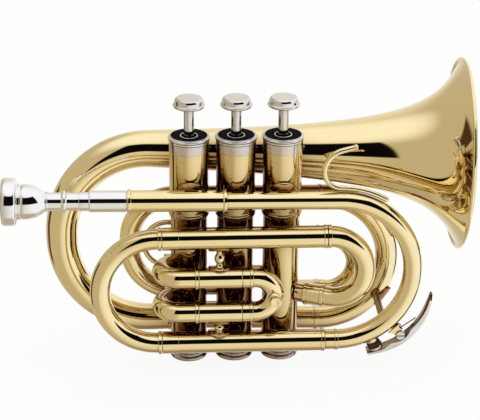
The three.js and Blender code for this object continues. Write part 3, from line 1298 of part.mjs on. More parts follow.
function waterKey() {
  const group = new THREE.Group();
  group.position.copy(BOW_CENTRE);
  group.add(
    piece("water_key_saddle", keySaddle(), lacqueredBrass),
    piece("water_key_lever", keyLever(), nickel),
    piece("water_key_cork", keyCork(), cork),
    piece("water_key_spring", keySpring(), springSteel),
  );
  return group;
}

const mainUpper = { y: FRONT_Y, z: MAIN_UPPER_Z, r: MAIN_TUBE_R };
const mainLower = { y: FRONT_Y, z: MAIN_LOWER_Z, r: MAIN_TUBE_R };
const slideUpper = { y: FIRST_SLIDE_Y, z: FIRST_PORTS_Z[0], r: SLIDE_SLEEVE_R };
const slideLower = { y: FIRST_SLIDE_Y, z: FIRST_PORTS_Z[1], r: SLIDE_SLEEVE_R };

const trumpet = new THREE.Group();
trumpet.add(
  valve(1),
  valve(2),
  valve(3),
  piece("mouthpiece", mouthpiece(), silver),
  piece("mouthpiece_receiver", mouthpieceReceiver(), lacqueredBrass),
  piece("leadpipe", leadpipe(), lacqueredBrass),
  piece("main_tube_upper", mainTube(MAIN_UPPER_Z), lacqueredBrass),
  piece("main_tube_lower", mainTube(MAIN_LOWER_Z), lacqueredBrass),
  piece("tuning_slide", tuningSlide(), lacqueredBrass),
  piece("valve_3_bow", valveThreeBow(), lacqueredBrass),
  ...firstSlide(),
  ...secondSlide(),
  ...thirdSlide(),
  piece("bell", bell(), lacqueredBrass),
  piece("bell_bow", bellBow(), lacqueredBrass),
  piece("coil_bottom_tube", coilBottomTube(), lacqueredBrass),
  piece("coil_right_bow", coilRightBow(), lacqueredBrass),
  piece("coil_top_tube", coilTopTube(), lacqueredBrass),
  piece("coil_left_bow", coilLeftBow(), lacqueredBrass),
  piece("slide_brace_upper", slideBrace(slideUpper, mainUpper), lacqueredBrass),
  piece("slide_brace_lower", slideBrace(mainLower, slideLower), lacqueredBrass),
  piece("leadpipe_brace_left", leadpipeBrace(VALVE_X[0], receiverClearance()), lacqueredBrass),
  piece("leadpipe_brace_right", leadpipeBrace(VALVE_X[2], leadpipeClearance()), lacqueredBrass),
  piece("bell_brace", bellBrace(), lacqueredBrass),
  piece("coil_brace", coilBrace(), lacqueredBrass),
  piece("finger_hook", fingerHook(), lacqueredBrass),
  piece("finger_ring", fingerRing(), lacqueredBrass),
  waterKey(),
);

export default trumpet;
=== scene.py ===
"""Dresses a pocket trumpet: polished, lacquered brass tubing round three nickel-capped valves."""

import logging
import math
from dataclasses import dataclass, replace
from enum import Enum
from typing import NamedTuple, Sequence

import bpy
from mathutils import Matrix, Vector


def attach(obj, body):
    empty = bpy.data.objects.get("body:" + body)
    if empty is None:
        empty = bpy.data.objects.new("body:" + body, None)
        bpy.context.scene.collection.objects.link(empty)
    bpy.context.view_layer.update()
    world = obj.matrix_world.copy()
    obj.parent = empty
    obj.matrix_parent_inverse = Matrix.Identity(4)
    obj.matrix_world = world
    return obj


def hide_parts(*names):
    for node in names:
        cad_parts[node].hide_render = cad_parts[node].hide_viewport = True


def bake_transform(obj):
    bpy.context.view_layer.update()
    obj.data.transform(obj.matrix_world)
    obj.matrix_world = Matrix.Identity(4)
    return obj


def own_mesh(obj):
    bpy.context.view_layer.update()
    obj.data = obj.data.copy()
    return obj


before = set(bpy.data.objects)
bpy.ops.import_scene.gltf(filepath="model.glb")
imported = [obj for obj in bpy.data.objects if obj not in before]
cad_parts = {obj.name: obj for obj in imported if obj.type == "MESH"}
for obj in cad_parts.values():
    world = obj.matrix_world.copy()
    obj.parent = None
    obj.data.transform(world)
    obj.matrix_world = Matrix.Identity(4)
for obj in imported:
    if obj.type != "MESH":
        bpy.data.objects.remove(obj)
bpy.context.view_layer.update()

LOG = logging.getLogger("pocket_trumpet")
MM = 0.001
SHORTEST = 1e-6
UPRIGHT = 1e-4
RIGHT, BACK, UP = Vector((1, 0, 0)), Vector((0, 1, 0)), Vector((0, 0, 1))
Profile = list[tuple[float, float]]
Triple = tuple[float, float, float]
Stops = tuple[float, float, float, float]


class Body(Enum):
    """The bodies that pieces ride on."""

    HORN = "horn"
    TUNING_SLIDE = "tuning_slide"
    FIRST_SLIDE = "first_slide"
    SECOND_SLIDE = "second_slide"
    THIRD_SLIDE = "third_slide"
    WATER_KEY = "water_key"
    MOUTHPIECE = "mouthpiece"
    VALVE_1 = "valve_1"
    VALVE_2 = "valve_2"
    VALVE_3 = "valve_3"


class Slot(Enum):
    """The record's material slots."""

    BRASS = "lacquered_brass"
    NICKEL = "nickel_plate"
    SILVER = "silver_plate"
    VALVE_METAL = "valve_metal"
    STEEL = "spring_steel"
    FELT = "black_felt"
    CORK = "cork"
    NYLON = "guide_nylon"


@dataclass(frozen=True)
class Layout:
    """Places and sizes that several sub-assemblies share, in millimetres."""

    gap: float = 0.3
    pitch: float = 26.1
    bore_r: float = 8.65
    casing_r: float = 10.3
    casing_top_r: float = 10.95
    casing_top_z: float = 132.3
    front_y: float = -18.0
    rim: Triple = (-129.4, -18.0, 104.8)
    leadpipe_end_z: float = 102.7
    bow_x: float = 56.6
    bow_r: float = 42.6
    nipple_deg: float = 26.0
    main_upper_z: float = 81.0
    main_lower_z: float = 16.7
    main_left_x: float = -41.8
    main_right_x: float = 50.3
    main_r: float = 6.25
    slide_y: float = -20.0
    bend_r: float = 5.8
    sleeve_r: float = 6.1
    sleeve_wall: float = 0.7
    ring_rise: float = 0.42
    first_slide_z: tuple[float, float] = (57.5, 36.5)
    second_slide_z: tuple[float, float] = (52.0, 35.0)
    third_slide_z: tuple[float, float] = (66.0, 31.5)
    third_slide_y: float = 16.5
    coil_r: float = 6.6
    coil_right: Triple = (52.0, 27.0, 8.4)
    coil_right_r: float = 39.1

    def valve_x(self, number: int) -> float:
        """Returns the X of a valve's axis."""
        return (number - 2) * self.pitch

    def lead_point(self, distance: float) -> Vector:
        """Returns the place on the leadpipe's straight line at a distance from the mouthpiece's rim."""
        start, end = Vector(self.rim), Vector((self.bow_x, self.front_y, self.leadpipe_end_z))
        return start + (end - start).normalized() * distance

    def lead_along(self) -> Vector:
        """Returns the direction of the leadpipe's straight line."""
        return self.lead_point(1) - self.lead_point(0)

    def bow_centre(self) -> Vector:
        """Returns the centre of the leadpipe's lower bend."""
        return Vector((self.bow_x, self.front_y, self.main_lower_z + self.bow_r))


LAYOUT = Layout()


# Curves and skins


class Run(NamedTuple):
    """One run of a centre line; a straight one has a radius of 0."""

    start: Vector
    heading: Vector
    inward: Vector
    radius: float
    length: float


class Path:
    """A centre line of straight runs and round bends, in millimetres."""

    def __init__(self, corners: Sequence[Sequence[float]], bends: Sequence[float] = ()) -> None:
        """Lays the line.

        Args:
            corners: The points at which the straight runs would meet.
            bends: The bend radius at each inner corner.
        """
        points = [Vector(c) for c in corners]
        runs: list[Run] = []
        start = points[0]
        for last, here, ahead, radius in zip(points, points[1:], points[2:], bends):
            before, after = (here - last).normalized(), (ahead - here).normalized()
            turn = before.angle(after)
            reach = radius * math.tan(turn / 2)
            bend_start = here - before * reach
            runs.append(Run(start, before, Vector(), 0.0, (bend_start - start).length))
            inward = (after - before * after.dot(before)).normalized()
            runs.append(Run(bend_start, before, inward, radius, radius * turn))
            start = here + after * reach
        rest = points[-1] - start
        runs.append(Run(start, rest.normalized(), Vector(), 0.0, rest.length))
        self.runs = [run for run in runs if run.length > SHORTEST]
        self.length = sum(run.length for run in self.runs)

    def at(self, distance: float) -> tuple[Vector, Vector]:
        """Finds a place on the line.

        Args:
            distance: Distance along the line; it may lie a little before or past its ends.

        Returns:
            The place and the heading there.
        """
        for run in self.runs:
            if distance <= run.length or run is self.runs[-1]:
                break
            distance -= run.length
        if not run.radius:
            return run.start + run.heading * distance, run.heading
        sine, cosine = math.sin(distance / run.radius), math.cos(distance / run.radius)
        place = run.start + run.heading * (run.radius * sine) + run.inward * (run.radius * (1 - cosine))
        return place, run.heading * cosine + run.inward * sine

    def stops(self, step_deg: float) -> list[float]:
        """Gives the distances at which a smooth tube needs a section.

        Args:
            step_deg: The largest turn between two sections.

        Returns:
            Distances in rising order.
        """
        found: list[float] = []
        begun = 0.0
        for run in self.runs:
            if run.radius:
                count = max(2, math.ceil(math.degrees(run.length / run.radius) / step_deg))
                found += [begun + run.length * k / count for k in range(count + 1)]
            begun += run.length
        return found


@dataclass(frozen=True)
class Section:
    """One round cross-section of a skin."""

    centre: Vector
    across: Vector
    up: Vector
    radius: float

    def point(self, angle: float) -> Vector:
        """Returns the point at an angle round the section."""
        aside = self.across * (self.radius * math.cos(angle))
        return self.centre + aside + self.up * (self.radius * math.sin(angle))


def turns(count: int) -> list[float]:
    """Returns evenly spaced angles round a circle."""
    return [2 * math.pi * k / count for k in range(count)]


def level_across(heading: Vector, spare: Vector) -> Vector:
    """Returns the level direction square to a heading, or the spare one where the heading is upright."""
    across = heading.cross(UP)
    return across.normalized() if across.length >= UPRIGHT else spare


class Skin:
    """Collects rows of points into one smooth mesh.

    A long stretch gets a ring close to each of its ends, so that smooth shading turns at the corner only.
    """

    long: float = 6.5
    support: float = 0.2
    nearest: float = 0.05
    least_r: float = 0.01

    def __init__(self) -> None:
        """Starts empty."""
        self.points: list[Vector] = []
        self.faces: list[tuple[int, ...]] = []
        self.finish_of_face: list[int] = []

    def face(self, corners: Sequence[int], finish: int = 0) -> None:
        """Adds one face."""
        self.faces.append(tuple(corners))
        self.finish_of_face.append(finish)

    def joined(self, rows: Sequence[Sequence[Vector]], loop: bool = False, finish: int = 0) -> "Skin":
        """Joins rows of points with quads.

        Args:
            rows: Closed rows with the same number of points.
            loop: Whether the last row joins the first; otherwise both ends are capped.
            finish: Index of the finish in the piece's list.

        Returns:
            This skin.
        """
        first, count, sides = len(self.points), len(rows), len(rows[0])
        for row in rows:
            self.points += row
        for i in range(count if loop else count - 1):
            here = first + i * sides
            there = first + ((i + 1) % count) * sides
            for k in range(sides):
                n = (k + 1) % sides
                self.face((here + k, here + n, there + n, there + k), finish)
        if not loop:
            self.face(range(first + sides - 1, first - 1, -1), finish)
            self.face(range(first + (count - 1) * sides, first + count * sides), finish)
        return self

    def rings(self, sections: Sequence[Section], sides: int, loop: bool = False, finish: int = 0) -> "Skin":
        """Joins round cross-sections.

        Args:
            sections: The cross-sections in order.
            sides: Points on each section.
            loop: Whether the last section joins the first; otherwise both ends are capped.
            finish: Index of the finish in the piece's list.

        Returns:
            This skin.
        """
        return self.joined([[section.point(a) for a in turns(sides)] for section in sections], loop, finish)

    def tube(
        self, path: Path, profile: Profile, wall: float = 0.0, sides: int = 40, step_deg: float = 4.0
    ) -> "Skin":
        """Sweeps a round section whose radius follows a profile.

        Args:
            path: The centre line.
            profile: Pairs of distance and outer radius in rising order.
            wall: Thickness of a hollow tube, or 0 for a solid one.
            sides: Points round the tube.
            step_deg: The largest turn between two sections.

        Returns:
            This skin.
        """
        stops = path.stops(step_deg)
        rows: Profile = [profile[0]]
        for (d0, r0), (d1, r1) in zip(profile, profile[1:]):
            ends = (d0 + self.support, d1 - self.support) if d1 - d0 > self.long else ()
            for stop in sorted([*stops, *ends]):
                if d0 + self.nearest < stop < d1 - self.nearest:
                    rows.append((stop, r0 + (r1 - r0) * (stop - d0) / (d1 - d0)))
            rows.append((d1, r1))
        heading = path.at(rows[0][0])[1]
        across = level_across(heading, BACK)
        sections: list[Section] = []
        for distance, radius in rows:
            place, now = path.at(distance)
            across = heading.rotation_difference(now) @ across
            across = (across - now * across.dot(now)).normalized()
            heading = now
            sections.append(Section(place, across, now.cross(across), radius))
        if not wall:
            return self.rings(sections, sides)
        first, last = (replace(s, radius=s.radius - wall) for s in (sections[0], sections[-1]))
        least = min(first.radius, last.radius)
        middle = [replace(s, radius=least) for s in reversed(sections[1:-1])]
        return self.rings([*sections, last, *middle, first], sides, loop=True)

    def turned(
        self,
        outline: Profile,
        start: Sequence[float] = (0, 0, 0),
        along: Sequence[float] = (0, 0, 1),
        sides: int = 64,
        loop: bool = False,
        finish: int = 0,
    ) -> "Skin":
        """Revolves an outline about a line.

        Args:
            outline: Pairs of radius and distance along the line.
            start: Where the line starts.
            along: The line's direction.
            sides: Points round the line.
            loop: Whether the outline closes on itself, for a hollow piece.
            finish: Index of the finish in the piece's list.

        Returns:
            This skin.
        """
        axis = Vector(along).normalized()
        across = level_across(axis, RIGHT)
        rows: Profile = [outline[0]]
        for (r0, d0), (r1, d1) in zip(outline, outline[1:]):
            length = math.hypot(r1 - r0, d1 - d0)
            ends = (self.support / length, 1 - self.support / length) if length > self.long else ()
            rows += [*((r0 + (r1 - r0) * s, d0 + (d1 - d0) * s) for s in ends), (r1, d1)]
        up, foot = axis.cross(across), Vector(start)
        sections = [Section(foot + axis * d, across, up, max(r, self.least_r)) for r, d in rows]
        return self.rings(sections, sides, loop, finish)


def band(start: float, end: float, radius: float, rise: float, edge: float = 0.18) -> Profile:
    """Gives the profile of a flat band that stands on a tube, with two small chamfers.

    Args:
        start: Distance at which the band starts.
        end: Distance at which it ends.
        radius: The tube's radius.
        rise: How far the band stands up.
        edge: Width of each chamfer.

    Returns:
        Pairs of distance and radius.
    """
    flank, top, lean = radius + rise - edge, radius + rise, 0.02
    low = [(start, radius), (start + lean, flank), (start + edge, top)]
    return [*low, (end - edge, top), (end - lean, flank), (end, radius)]


def bead(centre: float, half: float, radius: float, rise: float, steps: int = 8) -> Profile:
    """Gives the outline of a rounded bead on a turned piece.

    Args:
        centre: Distance of its middle.
        half: Half its width.
        radius: The radius on which it stands.
        rise: How far it stands up.
        steps: Number of facets over its back.

    Returns:
        Pairs of radius and distance.
    """
    angles = [math.pi * k / steps for k in range(steps + 1)]
    return [(radius + rise * math.sin(a), centre - half * math.cos(a)) for a in angles]


# Finishes


class Graph:
    """Short ways to add and join shader nodes in one tree."""

    def __init__(self, tree: bpy.types.NodeTree) -> None:
        """Keeps the tree."""
        self.tree = tree

    def node(self, kind: str, **values: object) -> bpy.types.Node:
        """Adds a node and sets its properties.

        Args:
            kind: The node's type name.
            **values: Properties by name.

        Returns:
            The node.
        """
        made = self.tree.nodes.new(kind)
        for name, value in values.items():
            setattr(made, name, value)
        return made

    def feed(self, node: bpy.types.Node, values: dict[str | int, object]) -> None:
        """Gives inputs a link or a plain value each.

        Args:
            node: The node that takes them.
            values: By the input's name or number, a socket to link, a colour or a number.
        """
        for name, value in values.items():
            socket = node.inputs[name]
            if isinstance(value, bpy.types.NodeSocket):
                self.tree.links.new(value, socket)
            else:
                is_colour = isinstance(value, tuple) and socket.type == "RGBA"
                socket.default_value = (*value, 1) if is_colour else value

    def fed(self, kind: str, values: dict[str | int, object], **settings: object) -> bpy.types.NodeSocket:
        """Adds a node, feeds it and returns its first output."""
        made = self.node(kind, **settings)
        self.feed(made, values)
        return made.outputs[0]

    def place(self) -> bpy.types.NodeSocket:
        """Returns the place on the object."""
        return self.node("ShaderNodeTexCoord").outputs["Object"]

    def math(self, operation: str, first: object, second: object = 0.0) -> bpy.types.NodeSocket:
        """Adds a Math node and returns its output."""
        return self.fed("ShaderNodeMath", {0: first, 1: second}, operation=operation)

    def ramp(
        self, value: object, low: object, high: object, out_low: float = 0.0, out_high: float = 1.0
    ) -> bpy.types.NodeSocket:
        """Adds a smooth Map Range node.

        Args:
            value: The value to map.
            low: The value that gives the low result.
            high: The value that gives the high result.
            out_low: The low result.
            out_high: The high result.

        Returns:
            The mapped value.
        """
        given = {"Value": value, "From Min": low, "From Max": high, "To Min": out_low, "To Max": out_high}
        return self.fed("ShaderNodeMapRange", given, interpolation_type="SMOOTHSTEP")

    def blend(self, first: object, second: object, share: object) -> bpy.types.NodeSocket:
        """Mixes two colours and returns the result.

        Args:
            first: A colour or a socket.
            second: The colour or socket that a share of 1 gives.
            share: How much of the second.

        Returns:
            The mixed colour.
        """
        made = self.node("ShaderNodeMix", data_type="RGBA")
        self.feed(made, {"A": first, "B": second, "Factor": share})
        return made.outputs["Result"]

    def window(self, value: object, stops: Stops) -> bpy.types.NodeSocket:
        """Gives 1 between the two inner stops and 0 outside the two outer ones.

        Args:
            value: The value to test.
            stops: Four rising stops.

        Returns:
            The share.
        """
        rise = self.ramp(value, stops[0], stops[1])
        return self.math("MULTIPLY", rise, self.ramp(value, stops[2], stops[3], 1.0, 0.0))

    def noise(
        self, place: bpy.types.NodeSocket, scale: object, detail: float, roughness: float = 0.55
    ) -> bpy.types.NodeSocket:
        """Adds a Noise node and returns its value."""
        given = {"Vector": place, "Scale": scale, "Detail": detail, "Roughness": roughness}
        return self.fed("ShaderNodeTexNoise", given)

    def bump(self, height: bpy.types.NodeSocket, strength: float, distance: float) -> bpy.types.NodeSocket:
        """Adds a Bump node and returns its normal."""
        return self.fed("ShaderNodeBump", {"Height": height, "Strength": strength, "Distance": distance})

    def effect(self, tree: bpy.types.NodeTree, **values: float) -> bpy.types.bpy_prop_collection:
        """Adds a shader group, feeds it and returns its outputs."""
        made = self.node("ShaderNodeGroup", node_tree=tree)
        self.feed(made, values)
        return made.outputs

    def mixed(self, share: object, first: object, second: object) -> bpy.types.NodeSocket:
        """Mixes two shaders and returns the result."""
        return self.fed("ShaderNodeMixShader", {0: share, 1: first, 2: second})


class Group(Graph):
    """A new shader group with float sockets."""

    def __init__(self, name: str, inputs: dict[str, float], *outputs: str) -> None:
        """Makes the sockets and the two end nodes.

        Args:
            name: The group's name.
            inputs: Default values by name.
            *outputs: Names.
        """
        super().__init__(bpy.data.node_groups.new(name, "ShaderNodeTree"))
        for socket, value in inputs.items():
            made = self.tree.interface.new_socket(socket, in_out="INPUT", socket_type="NodeSocketFloat")
            made.default_value = value
        for socket in outputs:
            self.tree.interface.new_socket(socket, in_out="OUTPUT", socket_type="NodeSocketFloat")
        self.given = self.node("NodeGroupInput").outputs
        self.out = self.node("NodeGroupOutput")

    def gives(self, **results: bpy.types.NodeSocket) -> bpy.types.NodeTree:
        """Links the results to the group's outputs and returns its tree."""
        self.feed(self.out, results)
        return self.tree


class Effects:
    """Shader groups that more than one finish uses, each built once."""

    def __init__(self) -> None:
        """Builds the groups."""
        self.haze = self._haze()
        self.hairlines = self._hairlines()
        self.nap = self._nap()
        self.nook_shade_mask = self._nook_shade_mask()

    @staticmethod
    def _haze() -> bpy.types.NodeTree:
        """Cloudy patches where polish has dulled and fingers have been."""
        group = Group("polish_haze", {"Scale": 30.0, "Spread": 0.2}, "Mask")
        place, scale, spread = group.place(), group.given["Scale"], group.given["Spread"]
        broad = group.noise(place, scale, 3.0)
        fine = group.noise(place, group.math("MULTIPLY", scale, 9.0), 2.0)
        both = group.math("ADD", group.math("MULTIPLY", broad, 0.75), group.math("MULTIPLY", fine, 0.25))
        middle = 0.55
        low, high = group.math("SUBTRACT", middle, spread), group.math("ADD", middle, spread)
        return group.gives(Mask=group.ramp(both, low, high))

    @staticmethod
    def _hairlines() -> bpy.types.NodeTree:
        """Faint wiping scratches that run in two crossing directions."""
        group = Group("hairline_scratches", {"Scale": 400.0, "Depth": 1.0}, "Height")
        place = group.place()
        heights = []
        for angle, stretch in ((0.5, 14.0), (-0.9, 11.0)):
            turned = group.node("ShaderNodeMapping")
            values = {"Rotation": (angle * 0.6, angle, angle * 1.7), "Scale": (1.0, stretch, stretch)}
            group.feed(turned, {"Vector": place, **values})
            scale = group.math("MULTIPLY", group.given["Scale"], 0.1)
            heights.append(group.ramp(group.noise(turned.outputs[0], scale, 2.0, 0.7), 0.52, 0.7))
        marks = group.math("MAXIMUM", *heights)
        return group.gives(Height=group.math("MULTIPLY", marks, group.given["Depth"]))

    @staticmethod
    def _nap() -> bpy.types.NodeTree:
        """Short matted fibres, or the grains of cork when it is coarse."""
        group = Group("fibre_nap", {"Scale": 3000.0, "Contrast": 0.5}, "Mask", "Height")
        place, scale = group.place(), group.given["Scale"]
        fibres = group.noise(place, scale, 6.0, 0.75)
        grains = {"Vector": place, "Scale": group.math("MULTIPLY", scale, 0.4)}
        cells = group.fed("ShaderNodeTexVoronoi", grains)
        height = group.math("MULTIPLY", group.math("ADD", fibres, cells), group.given["Contrast"])
        return group.gives(Mask=group.ramp(height, 0.1, 0.8), Height=height)

    @staticmethod
    def _nook_shade_mask() -> bpy.types.NodeTree:
        """Painted shade mask: open faces as 1 and occluded nooks, where shade falls between parts, as 0."""
        group = Group("painted_nook_shade", {"Reach": 0.03, "Least": 0.15, "Most": 0.95}, "Mask")
        around = group.node("ShaderNodeAmbientOcclusion", samples=40)
        group.feed(around, {"Distance": group.given["Reach"]})
        return group.gives(Mask=group.ramp(around.outputs["AO"], group.given["Least"], group.given["Most"]))


@dataclass(frozen=True)
class Dress:
    """A finished material and the record's slot that it belongs to."""

    material: bpy.types.Material
    slot: Slot


def fresh_graph(owner: bpy.types.Material | bpy.types.World) -> Graph:
    """Empties the node tree of a material or a world and returns its graph."""
    owner.use_nodes = True
    owner.node_tree.nodes.clear()
    return Graph(owner.node_tree)


@dataclass(frozen=True)
class Finish:
    """A finish for one of the record's slots."""

    name: str
    slot: Slot

    def shading(self, graph: Graph, effects: Effects) -> dict[str | int, object]:
        """Gives what the shader's inputs take, by name."""
        raise NotImplementedError

    def dress(self, effects: Effects) -> Dress:
        """Builds the material, which holds one Principled shader.

        Args:
            effects: The shared shader groups.

        Returns:
            The material with its slot.
        """
        made = bpy.data.materials.new(self.name)
        graph = fresh_graph(made)
        shader = graph.node("ShaderNodeBsdfPrincipled")
        graph.feed(shader, self.shading(graph, effects))
        graph.feed(graph.node("ShaderNodeOutputMaterial"), {"Surface": shader.outputs[0]})
        return Dress(made, self.slot)


@dataclass(frozen=True)
class MetalFinish(Finish):
    """A polished metal with light haze, hairline scratches and painted shade in its nooks."""

    colour: Triple
    aged: Triple
    roughness: tuple[float, float] = (0.03, 0.09)
    haze_scale: float = 28.0
    haze_spread: float = 0.22
    scratch_scale: float = 420.0
    scratch_depth: float = 0.5
    bump: float = 0.02
    coat: float = 0.0
    nook_shade: Triple | None = None

    def shading(self, graph: Graph, effects: Effects) -> dict[str | int, object]:
        """Gives what the shader's inputs take.

        Args:
            graph: The material's graph.
            effects: The shared shader groups.

        Returns:
            Sockets and values by the input's name.
        """
        haze = graph.effect(effects.haze, Scale=self.haze_scale, Spread=self.haze_spread)["Mask"]
        marks = graph.effect(effects.hairlines, Scale=self.scratch_scale, Depth=self.scratch_depth)["Height"]
        tint = graph.blend(self.colour, self.aged, haze)
        # Painted shade: ambient occlusion darkens nooks and gaps between parts towards the nook colour.
        if self.nook_shade:
            tint = graph.blend(self.nook_shade, tint, graph.effect(effects.nook_shade_mask)["Mask"])
        dulled = graph.math("ADD", haze, graph.math("MULTIPLY", marks, 0.5))
        return {
            "Base Color": tint,
            "Roughness": graph.ramp(dulled, 0.0, 1.4, *self.roughness),
            "Normal": graph.bump(marks, self.bump, 0.0001),
            "Metallic": 1.0,
            "Coat Weight": self.coat,
            "Coat Roughness": 0.02,
        }


@dataclass(frozen=True)
class SoftFinish(Finish):
    """Felt, cork or moulded nylon: two colours mixed by grain, and a matted surface."""

    dark: Triple
    light: Triple
    grain: float
    contrast: float = 0.6
    roughness: float = 0.95
    bump: float = 0.6
    gloss: float = 0.5

    def shading(self, graph: Graph, effects: Effects) -> dict[str | int, object]:
        """Gives what the shader's inputs take.

        Args:
            graph: The material's graph.
            effects: The shared shader groups.

        Returns:
            Sockets and values by the input's name.
        """
        nap = graph.effect(effects.nap, Scale=self.grain, Contrast=self.contrast)
        return {
            "Base Color": graph.blend(self.dark, self.light, nap["Mask"]),
            "Normal": graph.bump(nap["Height"], self.bump, 0.0003),
            "Roughness": self.roughness,
            "Specular IOR Level": self.gloss,
        }


class Wardrobe:
    """All the finishes of the trumpet."""

    def __init__(self) -> None:
        """Builds each material once."""
        effects = Effects()
        # The second colour is painted shade for the brass's nooks; every nook colour below is painted shade
        # too.
        gold, gold_nook_shade = (0.94, 0.80, 0.44), (0.34, 0.17, 0.045)
        self.brass = MetalFinish(
            "gold_lacquered_brass", Slot.BRASS, gold, (0.90, 0.74, 0.37), (0.02, 0.06),
            coat=1.0, nook_shade=gold_nook_shade,
        ).dress(effects)
        self.bell_brass = MetalFinish(
            "spun_bell_brass", Slot.BRASS, gold, (0.91, 0.75, 0.38), (0.04, 0.1),
            haze_scale=14.0, coat=1.0, nook_shade=gold_nook_shade,
        ).dress(effects)
        self.casing_brass = MetalFinish(
            "lacquered_casing_brass", Slot.BRASS, (0.85, 0.68, 0.34), (0.80, 0.62, 0.28), (0.05, 0.12),
            coat=0.6, nook_shade=(0.19, 0.075, 0.015),
        ).dress(effects)
        # Darker brown brass, used on the braces' leaf edges and the whole coil rod.
        self.dark_brass = MetalFinish(
            "dark_brown_brass", Slot.BRASS, (0.42, 0.24, 0.09), (0.26, 0.13, 0.04), (0.12, 0.25),
            nook_shade=(0.10, 0.04, 0.012),
        ).dress(effects)
        self.nickel = MetalFinish(
            "polished_nickel", Slot.NICKEL, (0.79, 0.78, 0.76), (0.71, 0.69, 0.66), (0.05, 0.13),
            scratch_depth=0.7, nook_shade=(0.3, 0.22, 0.17),
        ).dress(effects)
        self.band = MetalFinish(
            "nickel_band", Slot.NICKEL, (0.72, 0.66, 0.58), (0.64, 0.57, 0.49), (0.16, 0.26),
            scratch_depth=0.9, nook_shade=(0.3, 0.2, 0.12),
        ).dress(effects)
        self.silver = MetalFinish(
            "polished_silver", Slot.SILVER, (0.91, 0.91, 0.92), (0.86, 0.86, 0.87), scratch_depth=0.4
        ).dress(effects)
        self.monel = MetalFinish(
            "lapped_valve_metal", Slot.VALVE_METAL, (0.62, 0.60, 0.57), (0.52, 0.50, 0.47), (0.18, 0.3),
            scratch_depth=1.0, bump=0.08,
        ).dress(effects)
        self.steel = MetalFinish(
            "drawn_spring_wire", Slot.STEEL, (0.55, 0.54, 0.53), (0.45, 0.44, 0.43), (0.16, 0.3),
            scratch_scale=900.0,
        ).dress(effects)
        self.felt = SoftFinish(
            "black_pressed_felt", Slot.FELT, (0.001, 0.001, 0.002), (0.006, 0.005, 0.008), 2600.0, gloss=0.1
        ).dress(effects)
        self.cork = SoftFinish(
            "dark_cork", Slot.CORK, (0.02, 0.011, 0.008), (0.075, 0.038, 0.022), 900.0, 0.75
        ).dress(effects)
        self.nylon = SoftFinish(
            "moulded_nylon", Slot.NYLON, (0.80, 0.79, 0.74), (0.86, 0.85, 0.81), 400.0, 0.5, 0.45, 0.05
        ).dress(effects)


# Sub-assemblies


@dataclass
class Piece:
    """A finished object in the scene."""

    name: str
    skin: Skin
    finishes: Sequence[Dress]
    stands_for: Sequence[str] = ()
    body: Body = Body.HORN
    sharp_deg: float = 38.0
    bevel: float = 0.0
    bevel_steps: int = 3
    bevel_deg: float = 40.0
    bends_to: tuple[Body, Vector, Vector] | None = None

    def make(self) -> bpy.types.Object:
        """Builds the mesh, dresses it and lets it ride on its body; a piece with bends_to rides on no body
        and keeps its transform baked in.

        Returns:
            The new object.
        """
        mesh = bpy.data.meshes.new(self.name)
        mesh.from_pydata([tuple(p * MM) for p in self.skin.points], [], self.skin.faces)
        for finish in self.finishes:
            mesh.materials.append(finish.material)
        for polygon, index in zip(mesh.polygons, self.skin.finish_of_face):
            polygon.material_index = index
        mesh.shade_smooth()
        mesh.set_sharp_from_angle(angle=math.radians(self.sharp_deg))
        mesh.validate()
        piece = bpy.data.objects.new(self.name, mesh)
        bpy.context.scene.collection.objects.link(piece)
        if self.bevel:
            edge = piece.modifiers.new("soft_edges", "BEVEL")
            edge.width = self.bevel * MM
            edge.segments = self.bevel_steps
            edge.limit_method = "ANGLE"
            edge.angle_limit = math.radians(self.bevel_deg)
            edge.harden_normals = True
        if self.bends_to:
            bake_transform(piece)
        else:
            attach(piece, self.body.value)
        if self.stands_for:
            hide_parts(*self.stands_for)
        LOG.info("%s rides on %s, %d faces", self.name, self.body.value, len(mesh.polygons))
        return piece


@dataclass
class Assembly:
    """A part of the trumpet that takes its finishes from the wardrobe."""

    wardrobe: Wardrobe

    def build(self) -> None:
        """Makes every piece."""
        raise NotImplementedError

    def brass(self, name: str, skin: Skin, *nodes: str, body: Body = Body.HORN) -> None:
        """Makes a piece in lacquered brass.

        Args:
            name: The piece's name.
            skin: Its skin.
            *nodes: The CAD nodes that it stands for.
            body: The body that it rides on.
        """
        Piece(name, skin, [self.wardrobe.brass], nodes, body).make()

    def keep(self, name: str, finish: Dress) -> None:
        """Gives a CAD node that stays a better material.

        Args:
            name: The node's name.
            finish: The finish of all its faces.
        """
        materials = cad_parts[name].data.materials
        materials.clear()
        materials.append(finish.material)
        LOG.info("%s keeps its solid in %s", name, finish.material.name)


